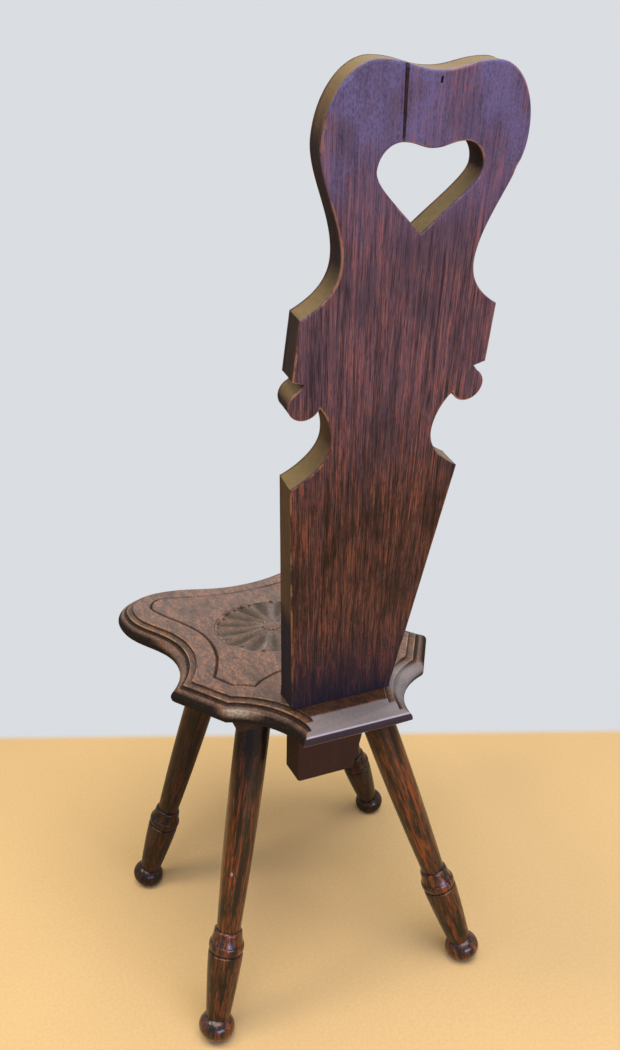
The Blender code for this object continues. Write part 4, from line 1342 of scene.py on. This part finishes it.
def plank_rear(x, rise):
    """How far the hand-planed rear face lies in front of its true plane."""
    planed = 0.00030 * noise.noise((x * 26.0, rise * 9.0, 1.0)) + 0.00012 * noise.noise((x * 90.0, rise * 20.0, 2.0))
    share, middle, width = crack_at(rise)
    if 0.0 <= share <= 1.1:
        planed += CRACK_DEPTH * max(0.0, 1.0 - ((x - middle) / width) ** 2)
    return planed + 0.0003


def plank_front(x, rise):
    """How deep the hand-planed front face lies."""
    return plank_thickness(rise) - 0.0003 - 0.0003 * noise.noise((x * 26.0, rise * 9.0, 9.0))


# The plank's edge from its rear face to its front: where, how far along that stretch, and how worn
PLANK_ROWS = [
    ("rear", -EDGE_STRIP, 0.0), ("rear", 0.0, 0.5), ("rear", 0.33, 0.9), ("rear", 0.67, 0.9), ("rear", 1.0, 0.5),
    ("wall", 0.05, 0.0), ("wall", 0.25, 0.0), ("wall", 0.5, 0.0), ("wall", 0.75, 0.0), ("wall", 0.95, 0.0),
    ("front", 1.0, 0.4), ("front", 0.67, 0.7), ("front", 0.33, 0.7), ("front", 0.0, 0.4), ("front", -EDGE_STRIP, 0.0)]


def plank_rings(shape, outline, arris, wear):
    """The rings of (vertex, flat place) round one of the plank's outlines."""
    moves = mitres(outline)
    rear = [arris + chip(*point) if point.y > WORN_FROM else SHARP_ARRIS for point in outline]
    front = [arris if point.y > WORN_FROM else SHARP_ARRIS for point in outline]

    def spot(index, inset, depth):
        """A flat place, with the shoulders and the tenon's end kept level through the plank."""
        point = outline[index]
        flat = point + moves[index] * inset
        if point.y <= WELD:
            level = 1.0 + point.y / TENON_LENGTH
            flat.y += level * CLEARANCE / math.cos(RAKE) - depth * math.tan(RAKE)
            if abs(point.x - TENON_OFFSET) < TENON_TOP_HALF + 0.001:
                side = 1.0 if point.x > TENON_OFFSET else -1.0
                flat.x += side * tenon_slope() * depth * math.sin(RAKE) * (1.0 - level)
        return flat

    rings = []
    for part, share, worn in PLANK_ROWS:
        angle = math.pi / 2 * min(1.0, max(0.0, share))
        ring = []
        for index, point in enumerate(outline):
            near, far = plank_rear(*point), plank_thickness(point.y)
            if part == "wall":
                near, far = near + rear[index], far - front[index]
                depth = near + (far - near) * share
                inset = 0.0
                if point.y > SAWN_FROM:
                    inset = 0.00025 * (1.0 + noise.noise((point.x * 50.0, point.y * 50.0, depth * 160.0)))
            else:
                face, way, radius = (near, 1, rear[index]) if part == "rear" else (far, -1, front[index])
                inset = radius * (1 - math.sin(angle)) + max(0.0, -share)
                depth = face + way * radius * (1 - math.cos(angle))
            flat = spot(index, inset, depth)
            vertex = shape.verts.new(on_plank(flat.x, flat.y, depth))
            vertex[wear] = worn if point.y > WORN_FROM else 0.0
            ring.append((vertex, flat))
        rings.append(ring)
    join_rings(shape, [[vertex for vertex, _ in ring] for ring in rings])
    return rings


def nail_pit(shape, grime_and_shade):
    """The slot that a nail left in the rear face: its rim's vertices and their flat places."""
    slot = []
    for step in range(NAIL_SLOT_SIDES):
        angle = math.tau * step / NAIL_SLOT_SIDES
        slot.append(Vector((
            NAIL_SLOT[0] + NAIL_SLOT_RADIUS * math.cos(angle),
            NAIL_SLOT[1] + math.copysign(NAIL_SLOT_HALF, math.sin(angle) or -1.0)
            + NAIL_SLOT_RADIUS * math.sin(angle))))
    rings = []
    for depth, taper in ((0.0, 0.0), (NAIL_SLOT_DEPTH, NAIL_SLOT_TAPER)):
        rings.append([
            shape.verts.new(on_plank(
                point.x - (point.x - NAIL_SLOT[0]) * taper / NAIL_SLOT_RADIUS, point.y, plank_rear(*point) + depth))
            for point in slot])
    for vertex in rings[1]:
        vertex[grime_and_shade] = 1.0
    join_rings(shape, rings)
    shape.faces.new(rings[1])
    return rings[0], slot


def crack_points():
    """Points along the crack, close enough to shape it."""
    points = []
    for row in range(CRACK_ROWS):
        rise = CRACK_FOOT[1] + CRACK_ROW_START + row * CRACK_ROW_PITCH
        _, middle, width = crack_at(rise)
        points += [(middle + width * side, rise) for side in (-1.0, -0.5, 0.0, 0.5, 1.0)]
    return points


def make_plank_mesh(sizes):
    """The plank with rounded arrises, level shoulders, tenon, heart, nail slot and crack."""
    shape = bmesh.new()
    wear = shape.verts.layers.float.new("wear")
    grime_and_shade = shape.verts.layers.float.new("soil")
    rings = [plank_rings(shape, outline, sizes.plank_arris, wear) for outline in (plank_outline(), heart_outline())]
    pit, slot = nail_pit(shape, grime_and_shade)
    rear_rings, front_rings = [edge[0] for edge in rings], [edge[-1] for edge in rings]
    rear_flat, front_flat = ([[flat for _, flat in ring] for ring in side] for side in (rear_rings, front_rings))
    extra = grid_points(rear_flat, PLANK_REAR_PITCH, margin=0.0030, clear_of=[(near_tree(slot), 0.0030)])
    extra += crack_points()
    keep = inside(extra, rear_flat[0])
    edge_tree = near_tree(rear_flat[0] + rear_flat[1])
    extra = [
        point for point, kept in zip(extra, keep)
        if kept and edge_tree.find((point[0], point[1], 0.0))[2] > 0.0007]
    fill(
        shape, rear_rings + [list(zip(pit, slot))], extra, [], [rear_flat[1], slot],
        lambda flat, _: on_plank(*flat, plank_rear(*flat)))
    fill(
        shape, front_rings, grid_points(front_flat, PLANK_FRONT_PITCH, margin=0.0035), [], [front_flat[1]],
        lambda flat, _: on_plank(*flat, plank_front(*flat)))
    return as_mesh("back_board", shape)


def plank_darkening(rise, depth, upward):
    """Darkening on the plank: darker towards the seat and on its tenon, and painted shade on the side walls that face
    down or sideways.
    """
    rear = np.clip(1.0 - rise / PLANK_REAR_DARK_TOP, 0.0, 1.0) ** 1.4 * 0.95
    wall = (depth > PLANK_WALL_START) & (depth < plank_thickness(rise) - PLANK_WALL_START)
    # Painted shade on the side walls: the less they face up, the darker
    side = np.where(rise > PLANK_SIDE_SHADE_STEP, 0.98, 0.72) * (1.0 - np.clip(upward, 0.0, 1.0)) ** 1.5
    side = np.maximum(np.clip((PLANK_SIDE_DARK_TOP - rise) / PLANK_SIDE_DARK_FADE, 0.0, 1.1), side)
    return np.where(rise < 0.0, TENON_SOIL, np.where(wall, side, rear))


def shaft_radius(height):
    """The leg's radius between its collar and the top of its swell."""
    share = (SWELL_TOP - height) / (SWELL_TOP - SHAFT_FOOT)
    return SHAFT_RADIUS + (SHAFT_FOOT_RADIUS - SHAFT_RADIUS) * share**2


def bulge(inner, outer, middle, half, angles):
    """A round turning, as (radius, height) pairs at angles from its middle."""
    return [(inner + (outer - inner) * math.cos(angle), middle + half * math.sin(angle)) for angle in angles]


def taper(foot, top, shares, power):
    """A hollow turning, as (radius, height) pairs at shares of the way down from its top to its foot."""
    return [(top[0] + (foot[0] - top[0]) * share**power, top[1] + (foot[1] - top[1]) * share) for share in shares]


def leg_profile(length):
    """The turned leg from its foot up, as (radius, height) pairs."""
    ankle = FOOT_HALF_HEIGHT * math.sqrt(1.0 - (ANKLE_RADIUS / FOOT_RADIUS) ** 2)
    quarter = math.pi / 2
    sweep = math.asin(ankle / FOOT_HALF_HEIGHT) + quarter
    heights = [SHAFT_FOOT + (SWELL_TOP - SHAFT_FOOT) * step / 40 for step in range(1, 41)]
    heights = [height for height in heights if abs(height - NICK_HEIGHT) > NICK_CLEAR]
    heights += [NICK_HEIGHT + NICK_PITCH * step for step in range(-5, 6)]
    return [
        (0.0, -FOOT_HALF_HEIGHT),
        *bulge(0.0, FOOT_RADIUS, 0.0, FOOT_HALF_HEIGHT, [sweep * step / 26 - quarter for step in range(1, 27)]),
        *taper((ANKLE_RADIUS, ankle), (CALF_RADIUS, CALF_TOP), [1.0 - step / 20 for step in range(1, 20)], 1.35),
        (CALF_RADIUS - 0.0003, CALF_TOP - 0.0006), (CALF_RADIUS - 0.0008, CALF_TOP),
        (GROOVE_RADIUS, CALF_TOP + 0.0004), (GROOVE_RADIUS - 0.0002, (CALF_TOP + GROOVE_TOP) / 2),
        (GROOVE_RADIUS, GROOVE_TOP - 0.0003), (BEAD_NECK_RADIUS, GROOVE_TOP),
        *bulge(
            BEAD_NECK_RADIUS, BEAD_RADIUS, (GROOVE_TOP + BEAD_TOP) / 2, (BEAD_TOP - GROOVE_TOP) / 2,
            [math.pi * step / 14 - quarter for step in range(1, 14)]),
        *taper((BEAD_NECK_RADIUS, BEAD_TOP), (COLLAR_RADIUS, COLLAR_FOOT), [1.0 - step / 9 for step in range(10)], 1.5),
        *bulge(
            SHAFT_FOOT_RADIUS, COLLAR_RADIUS, COLLAR_FOOT, SHAFT_FOOT - COLLAR_FOOT,
            [quarter * step / 9 for step in range(1, 10)]),
        *((shaft_radius(height), height) for height in sorted(heights)),
        (SHAFT_RADIUS, (SWELL_TOP + length) / 2), (SHAFT_RADIUS, length), (0.0, length)]


def leg_shade_grime_and_wear(height, length):
    """Grime, painted shade and worn shares up a leg: grime in its grooves, painted shade at its top under the seat, and
    worn wood on its bead, calf and foot.
    """
    def belt(share, middle, reach):
        return share * np.exp(-((height - middle) / reach) ** 2)

    ankle = FOOT_HALF_HEIGHT * ANKLE_SHARE
    calf = (height > ankle) & (height < CALF_TOP)
    soil = np.maximum.reduce([
        belt(1.0, (CALF_TOP + GROOVE_TOP) / 2, 0.0016), belt(0.8, BEAD_TOP + 0.0005, 0.0012),
        belt(0.5, ankle, 0.0015), np.clip((height - length + SEAT_SHADE) / SEAT_SHADE_FADE, 0.0, 1.0) * 1.08,
        np.where(calf, 0.50, np.where(height > SHAFT_FOOT, 0.30, 0.26))])
    wear = np.maximum.reduce([
        belt(0.25, (GROOVE_TOP + BEAD_TOP) / 2, 0.003), belt(0.4, CALF_TOP - 0.001, 0.0012), belt(0.2, 0.0, 0.006)])
    return soil, wear


def nick_spot():
    """The nick on its leg's surface, measured from the leg's foot."""
    foot, axis = leg_axis(NICK_LEG)
    spot = leg_turn(axis).inverted() @ (Vector(NICK_PLACE) - foot)
    flat = spot.xy.normalized() * shaft_radius(spot.z)
    return Vector((flat.x, flat.y, spot.z))


def nick(mesh, local):
    """Dent the leg at its nick."""
    away = np.linalg.norm((local - np.array(nick_spot())) / np.array(NICK_STRETCH), axis=1) / NICK_RADIUS
    dent = np.clip(1.0 - away**2, 0.0, 1.0)
    mesh.vertices.foreach_set("co", (places_of(mesh) - normals_of(mesh) * (dent * NICK_DEPTH)[:, None]).ravel())


def node_tree(name, inputs):
    """A geometry node tree with the inputs given as (name, kind), the paint that fills it, and its inputs' wires."""
    tree = bpy.data.node_groups.new(name, "GeometryNodeTree")
    for label, kind in inputs:
        tree.interface.new_socket(label, in_out="INPUT", socket_type=f"NodeSocket{kind}")
    tree.interface.new_socket("Made", in_out="OUTPUT", socket_type="NodeSocketGeometry")
    paint = Paint(tree)
    source = tree.nodes.new("NodeGroupInput")
    return tree, paint, [Wire(paint, source.outputs[index]) for index in range(len(inputs))]


def end_tree(paint, made, finish):
    """Make the tree's instances real, give them their material, and hand them on."""
    real = paint.node("GeometryNodeRealizeInstances", None, {"Geometry": made})
    done = paint.node("GeometryNodeSetMaterial", None, {"Geometry": real, "Material": finish})
    end = paint.tree.nodes.new("NodeGroupOutput")
    paint.tree.links.new(done.socket, end.inputs[0])


def turning_tree():
    """A node tree that turns its object's row of points, (radius, 0, height) from the foot up, into a leg."""
    tree, paint, (profile, sides, rings, foot, axis, finish) = node_tree("turned_leg", (
        ("Profile", "Geometry"), ("Sides", "Int"), ("Rings", "Int"), ("Foot", "Vector"), ("Axis", "Vector"),
        ("Finish", "Material")))
    blank = paint.node("GeometryNodeMeshCylinder", {"fill_type": "NONE"}, {
        "Vertices": sides, "Side Segments": rings, "Radius": 1.0, "Depth": 1.0}, "Mesh")
    place = paint.node("GeometryNodeInputPosition")
    x, y, z = (paint.part(place, side) for side in "XYZ")
    ring = z.sum("ROUND", (z + 0.5) * rings)
    drawn = paint.node("GeometryNodeSampleIndex", {"data_type": "FLOAT_VECTOR", "domain": "POINT"}, {
        "Geometry": profile, "Value": place, "Index": ring}, "Value")
    radius = paint.part(drawn, "X")
    turned = paint.node("GeometryNodeSetPosition", None, {
        "Geometry": blank, "Position": paint.joined(x * radius, y * radius, paint.part(drawn, "Z"))})
    closed = paint.node("GeometryNodeMergeByDistance", None, {"Geometry": turned, "Distance": POLE_WELD})
    lean = paint.node("FunctionNodeAlignRotationToVector", {"axis": "Z"}, {"Vector": axis})
    stood = paint.node("GeometryNodeTransform", None, {"Geometry": closed, "Translation": foot, "Rotation": lean})
    level = paint.node("GeometryNodeSetPosition", None, {
        "Geometry": stood, "Position": paint.joined(x, y, z.at_least(0.0))})
    end_tree(paint, level, finish)
    return tree


def screw_tree():
    """A node tree that stands a slotted countersunk screw, head down, on each of its object's points."""
    tree, paint, (places, length, shank, head, head_height, finish) = node_tree("batten_screws", (
        ("Places", "Geometry"), ("Length", "Float"), ("Shank", "Float"), ("Head", "Float"), ("Head Height", "Float"),
        ("Finish", "Material")))
    cone = paint.node("GeometryNodeMeshCone", {"fill_type": "NGON"}, {
        "Vertices": 32, "Side Segments": 3, "Radius Top": shank, "Radius Bottom": head, "Depth": head_height}, "Mesh")
    bar = paint.node("GeometryNodeMeshCube", None, {"Size": SCREW_SLOT}, "Mesh")
    slotted = paint.node("GeometryNodeMeshBoolean", {"operation": "DIFFERENCE", "solver": "EXACT"}, {
        "Mesh 1": cone, "Mesh 2": bar}, "Mesh")
    pin = paint.node("GeometryNodeMeshCylinder", {"fill_type": "NGON"}, {
        "Vertices": 24, "Side Segments": 8, "Radius": shank * 0.985, "Depth": length - head_height}, "Mesh")
    lift = paint.joined(0.0, 0.0, (length + head_height) * 0.5)
    raised = paint.node("GeometryNodeTransform", None, {"Geometry": pin, "Translation": lift})
    screw = tree.nodes.new("GeometryNodeJoinGeometry")
    for part in (slotted, raised):
        tree.links.new(part.socket, screw.inputs[0])
    spin = paint.node("FunctionNodeRandomValue", {"data_type": "FLOAT"}, {"Max_001": math.tau, "Seed": 5}, "Value_001")
    stood = paint.node("GeometryNodeInstanceOnPoints", None, {
        "Points": places, "Instance": Wire(paint, screw.outputs[0]), "Rotation": paint.joined(0.0, 0.0, spin)})
    end_tree(paint, stood, finish)
    return tree


def use_tree(item, tree, values):
    """Give an object a node tree, its inputs set by their sockets' identifiers, and bake it."""
    modifier = item.modifiers.new(tree.name, "NODES")
    modifier.node_group = tree
    for socket in tree.interface.items_tree:
        if socket.in_out == "INPUT" and socket.name in values:
            modifier[socket.identifier] = values[socket.name]
    return baked(item)


class CHAIR_OT_seat_board(bpy.types.Operator):
    """Make the moulded and carved seat board"""

    bl_idname = "chair.seat_board"
    bl_label = "Seat board"

    def execute(self, context):
        sizes = context.scene.chair_sizes
        item = link("carved_seat_board", make_seat_mesh(sizes))
        cut_away(item, seat_cutters())
        mesh = item.data
        places = places_of(mesh)
        set_attribute(mesh, "grain", places, "FLOAT_VECTOR")
        # Painted shade on the seat's rear face, below the ledge's edge
        behind = places[:, 1] > REAR_CORNER.y - 0.0003
        below = np.clip((LEDGE_EDGE - 0.0008 - places[:, 2]) / 0.001, 0.0, 1.0)
        set_attribute(mesh, "soil", np.where(behind, 0.92 * below, read_attribute(mesh, "soil")))
        ground = tuple(context.scene.chair_finish.seat)
        finish = oak(
            "seat_oak", tinted(ground, (1.20, 1.30, 1.4)), tinted(ground, (2.4, 1.9, 1.2)), shade(ground, 0.36),
            scale=640.0, length=0.40, wave=0.5, spread=0.12, streak=0.95, roughness=0.40, specular=0.14, gloss=0.75,
            gleam=0.22, blotch=0.35, matt=0.9, worn=(0.36, 0.19, 0.07), soil=(0.014, 0.010, 0.007), marks=[
                painted_round_sheen, painted_nose_gleam, painted_hollow_sheen, painted_shade_strip, painted_ledge_sheen, painted_rear_shade, painted_ledge_highlight])
        finish_piece(item, finish, ["seat_board"])
        return {"FINISHED"}


class CHAIR_OT_back_board(bpy.types.Operator):
    """Make the shaped plank back with its heart hand-hold"""

    bl_idname = "chair.back_board"
    bl_label = "Plank back"

    def execute(self, context):
        item = link("plank_back", make_plank_mesh(context.scene.chair_sizes))
        mesh = item.data
        places = places_of(mesh)
        rise, depth = slant(places[:, 1], places[:, 2])
        set_attribute(
            mesh, "grain", np.column_stack([places[:, 0] - PLANK_GRAIN_LEAN * rise, rise, depth]), "FLOAT_VECTOR")
        # Darker towards the seat and on the tenon, with painted shade on the side walls
        darkened = plank_darkening(rise, depth, normals_of(mesh)[:, 2])
        set_attribute(mesh, "soil", np.maximum(darkened, read_attribute(mesh, "soil")))
        ground = tuple(context.scene.chair_finish.plank)
        finish = oak(
            "plank_oak", tinted(ground, (0.90, 1.10, 1.6)), tinted(ground, (3.0, 2.4, 1.8)), shade(ground, 0.07),
            scale=1700.0, length=0.026, spread=0.075, streak=0.95, roughness=0.40, specular=0.12, gloss=0.12,
            blotch=0.5, patch=22.0, matt=0.9, fleck=0.55, soil=(0.018, 0.017, 0.026), marks=[
                painted_red_sheen, painted_violet_sheen, filled_crack, painted_warm_edge_light, tenon_stain])
        finish_piece(item, finish, ["back_board"])
        return {"FINISHED"}


class CHAIR_OT_legs(bpy.types.Operator):
    """Turn the four legs"""

    bl_idname = "chair.legs"
    bl_label = "Turned legs"

    def execute(self, context):
        sizes = context.scene.chair_sizes
        ground = tuple(context.scene.chair_finish.legs)
        shift = {name: np.array(LEG_GRAIN_STEP) * number for number, name in enumerate(LEG_PLACES)}
        spot = nick_spot() + Vector(shift[NICK_LEG][[0, 2, 1]])
        finish = oak(
            "turned_oak", tinted(ground, (0.75, 0.65, 0.6)), tinted(ground, (2.9, 1.9, 0.9)), shade(ground, 0.02),
            scale=640.0, length=0.045, wave=1.3, spread=0.065, streak=1.0, roughness=0.26, specular=0.08, gloss=0.95,
            gleam=0.19, blotch=0.97, patch=150.0, run=0.13, blot=(0.52, 0.40), matt=0.55,
            soil=(0.005, 0.0025, 0.0018), marks=[pale_nick(spot)])
        tree = turning_tree()
        for name in LEG_PLACES:
            foot, axis = leg_axis(name)
            profile = leg_profile(axis.length + SOCKET_DEPTH)
            mesh = bpy.data.meshes.new(name)
            mesh.from_pydata([(radius, 0.0, height) for radius, height in profile], [], [])
            item = link("turned_" + name, mesh)
            mesh = use_tree(item, tree, {
                "Sides": sizes.leg_sides, "Rings": len(profile) - 1, "Foot": foot, "Axis": axis, "Finish": finish})
            if len(mesh.polygons) == 0:
                raise RuntimeError(f"{name}: no leg was turned")
            local = (places_of(mesh) - np.array(foot)) @ np.array(leg_turn(axis).to_matrix())
            set_attribute(mesh, "grain", local[:, [0, 2, 1]] + shift[name], "FLOAT_VECTOR")
            if name == NICK_LEG:
                nick(mesh, local)
            soil, wear = leg_shade_grime_and_wear(local[:, 2], axis.length)
            # The front legs are darkened all over: painted shade from the seat above them
            set_attribute(mesh, "soil", np.maximum(soil, FRONT_LEG_SHADE) if name.startswith("front") else soil)
            set_attribute(mesh, "wear", wear)
            finish_piece(item, finish, [name])
        return {"FINISHED"}


class CHAIR_OT_battens(bpy.types.Operator):
    """Make the two battens under the seat"""

    bl_idname = "chair.battens"
    bl_label = "Battens"

    def execute(self, context):
        ground = tuple(context.scene.chair_finish.battens)
        finish = oak(
            "batten_oak", shade(ground, 0.6), shade(ground, 1.1), shade(ground, 0.2), streak=0.7, roughness=0.66,
            specular=0.15, gloss=0.0, blotch=0.6)
        for name in ("front_batten", "rear_batten"):
            low, high = (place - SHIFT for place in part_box(name))
            middle = (low.y + high.y) / 2
            half = BATTEN_HALF_LENGTH
            foot = half - BATTEN_END_SLOPE
            corners = [(-half, high.z), (-foot, low.z), (foot, low.z), (half, high.z)]
            item = prism(
                "oak_" + name, corners, lambda point, side: (point[0], middle + side, point[1]), BATTEN_WIDTH / 2)
            bevel = item.modifiers.new("ease", "BEVEL")
            bevel.width = BATTEN_EASE
            bevel.segments = 3
            baked(item)
            side = name.split("_")[0]
            cut_away(item, [socket_cutter(leg) for leg in LEG_PLACES if leg.startswith(side)] + screw_cutters(name))
            mesh = item.data
            places = places_of(mesh)
            set_attribute(mesh, "grain", places[:, [1, 0, 2]] + np.array([0.4, 0.0, 0.2]), "FLOAT_VECTOR")
            set_attribute(mesh, "wear", np.zeros(len(places)))
            set_attribute(mesh, "soil", np.full(len(places), BATTEN_SOIL))
            finish_piece(item, finish, [name])
        return {"FINISHED"}


class CHAIR_OT_screws(bpy.types.Operator):
    """Set the slotted screws in the battens"""

    bl_idname = "chair.screws"
    bl_label = "Batten screws"

    def execute(self, context):
        places = screw_places("rear_batten") + screw_places("front_batten")
        nodes = [name for name in frame["nodes"] if name.endswith("batten_screw")]
        mesh = bpy.data.meshes.new("batten_screws")
        mesh.from_pydata([tuple(place) for place in places], [], [])
        item = link("slotted_batten_screws", mesh)
        finish = dulled_steel(tuple(context.scene.chair_finish.screws))
        mesh = use_tree(item, screw_tree(), {
            "Length": SCREW_LENGTH, "Shank": SCREW_SHANK, "Head": SCREW_HEAD, "Head Height": SCREW_HEAD_HEIGHT,
            "Finish": finish})
        if len(mesh.polygons) == 0 or len(places) != len(nodes):
            raise RuntimeError("the batten screws weren't made")
        finish_piece(item, finish, nodes)
        return {"FINISHED"}


class CHAIR_OT_stage(bpy.types.Operator):
    """Set the floor, the backdrop, the lights and the camera"""

    bl_idname = "chair.stage"
    bl_label = "Stage"

    def execute(self, context):
        look = context.scene.chair_stage
        floor = link("floor", bpy.data.meshes.new("floor"))
        corners = [(x * FLOOR_REACH, y * FLOOR_REACH, 0.0) for x, y in ((-1, -1), (1, -1), (1, 1), (-1, 1))]
        floor.data.from_pydata(corners, [], [(0, 1, 2, 3)])
        floor.data.materials.append(self.floor_cloth(tuple(look.floor)))
        self.world(context, tuple(look.backdrop))
        for name, details in LAMPS.items():
            self.lamp(name, getattr(look, name), *details)
        self.camera(context)
        context.scene.view_settings.view_transform = "Standard"
        return {"FINISHED"}

    def floor_cloth(self, colour):
        """A pale floor that gives way to the backdrop in the distance."""
        material, paint = new_paint("floor_cloth")
        place = paint.node("ShaderNodeTexCoord", None, None, "Object")
        away = paint.node("ShaderNodeVectorMath", {"operation": "DOT_PRODUCT"}, {
            0: place, 1: FLOOR_EDGE_NORMAL}, "Value")
        pile = paint.noise(place, 240.0, 4.0, 0.65)
        tread = paint.noise(place, 9.0, 3.0)
        base = paint.mix(pile.between(0.35, 0.7) * 0.5 + tread * 0.3, shade(colour, 0.93), shade(colour, 1.05))
        cloth = paint.node("ShaderNodeBsdfDiffuse", None, {"Color": base}, "BSDF")
        clear = paint.node("ShaderNodeBsdfTransparent", None, None, "BSDF")
        seen = paint.node("ShaderNodeLightPath", None, None, "Is Camera Ray")
        share = away.between(FLOOR_EDGE - FLOOR_EDGE_BLUR, FLOOR_EDGE + FLOOR_EDGE_BLUR).at_least(1.0 - seen)
        mixed = paint.node("ShaderNodeMixShader", None, {0: share, 1: clear, 2: cloth})
        paint.node("ShaderNodeOutputMaterial", None, {"Surface": mixed})
        return material

    def world(self, context, colour):
        world = bpy.data.worlds.new("pale_room")
        context.scene.world = world
        world.use_nodes = True
        world.node_tree.nodes.clear()
        paint = Paint(world.node_tree)
        camera, glossy, through_glass = (
            paint.node("ShaderNodeLightPath", None, None, f"Is {kind} Ray")
            for kind in ("Camera", "Glossy", "Transmission"))
        seen = (camera + glossy + through_glass).at_most(1.0)
        light = paint.node("ShaderNodeBackground", None, {"Color": ROOM_COLOUR, "Strength": ROOM_STRENGTH})
        view = paint.node("ShaderNodeBackground", None, {"Color": (*colour, 1.0), "Strength": 1.0})
        mixed = paint.node("ShaderNodeMixShader", None, {0: seen, 1: light, 2: view})
        paint.node("ShaderNodeOutputWorld", None, {"Surface": mixed})

    def lamp(self, name, power, place, target, width, height, colour):
        data = bpy.data.lights.new(name, "AREA")
        data.shape = "RECTANGLE"
        data.size, data.size_y = width, height
        data.energy = power
        data.color = colour
        lamp = link(name, data)
        lamp.location = place
        lamp.rotation_euler = (Vector(target) - Vector(place)).to_track_quat("-Z", "Y").to_euler()

    def camera(self, context):
        data = bpy.data.cameras.new("camera")
        data.sensor_width = 36.0
        data.lens = FOCAL * data.sensor_width / PICTURE_HEIGHT
        data.shift_x = (PICTURE_WIDTH / 2 - AXIS_X) / PICTURE_HEIGHT
        data.shift_y = (AXIS_Y - PICTURE_HEIGHT / 2) / PICTURE_HEIGHT
        data.clip_start = 0.02
        camera = link("camera", data)
        turn = Matrix((CAMERA_RIGHT, CAMERA_UP, -Vector(CAMERA_FORWARD))).transposed()
        camera.rotation_euler = turn.to_euler()
        camera.location = Vector(CAMERA_PLACE) + SHIFT
        context.scene.camera = camera


class CHAIR_PT_sidebar(bpy.types.Panel):
    """Buttons and settings for the chair"""

    bl_idname = "CHAIR_PT_sidebar"
    bl_label = "Spinning chair"
    bl_space_type = "VIEW_3D"
    bl_region_type = "UI"
    bl_category = "Chair"

    def draw(self, context):
        for operator in OPERATORS:
            self.layout.operator(operator.bl_idname)
        for group in (context.scene.chair_sizes, context.scene.chair_finish, context.scene.chair_stage):
            box = self.layout.box()
            for name in group.bl_rna.properties.keys():
                if name not in ("name", "rna_type"):
                    box.prop(group, name)


GROUPS = {"chair_sizes": ChairSizes, "chair_finish": ChairFinish, "chair_stage": StageLook}
OPERATORS = (
    CHAIR_OT_stage, CHAIR_OT_seat_board, CHAIR_OT_back_board, CHAIR_OT_legs, CHAIR_OT_battens, CHAIR_OT_screws)


def register():
    for name, group in GROUPS.items():
        bpy.utils.register_class(group)
        setattr(bpy.types.Scene, name, bpy.props.PointerProperty(type=group))
    for item in (*OPERATORS, CHAIR_PT_sidebar):
        bpy.utils.register_class(item)


def unregister():
    for item in reversed((*OPERATORS, CHAIR_PT_sidebar)):
        bpy.utils.unregister_class(item)
    for name, group in GROUPS.items():
        delattr(bpy.types.Scene, name)
        bpy.utils.unregister_class(group)


def main():
    register()
    bpy.ops.chair.stage()
    bpy.ops.chair.seat_board()
    bpy.ops.chair.back_board()
    bpy.ops.chair.legs()
    bpy.ops.chair.battens()
    bpy.ops.chair.screws()


if __name__ == "__main__":
    main()
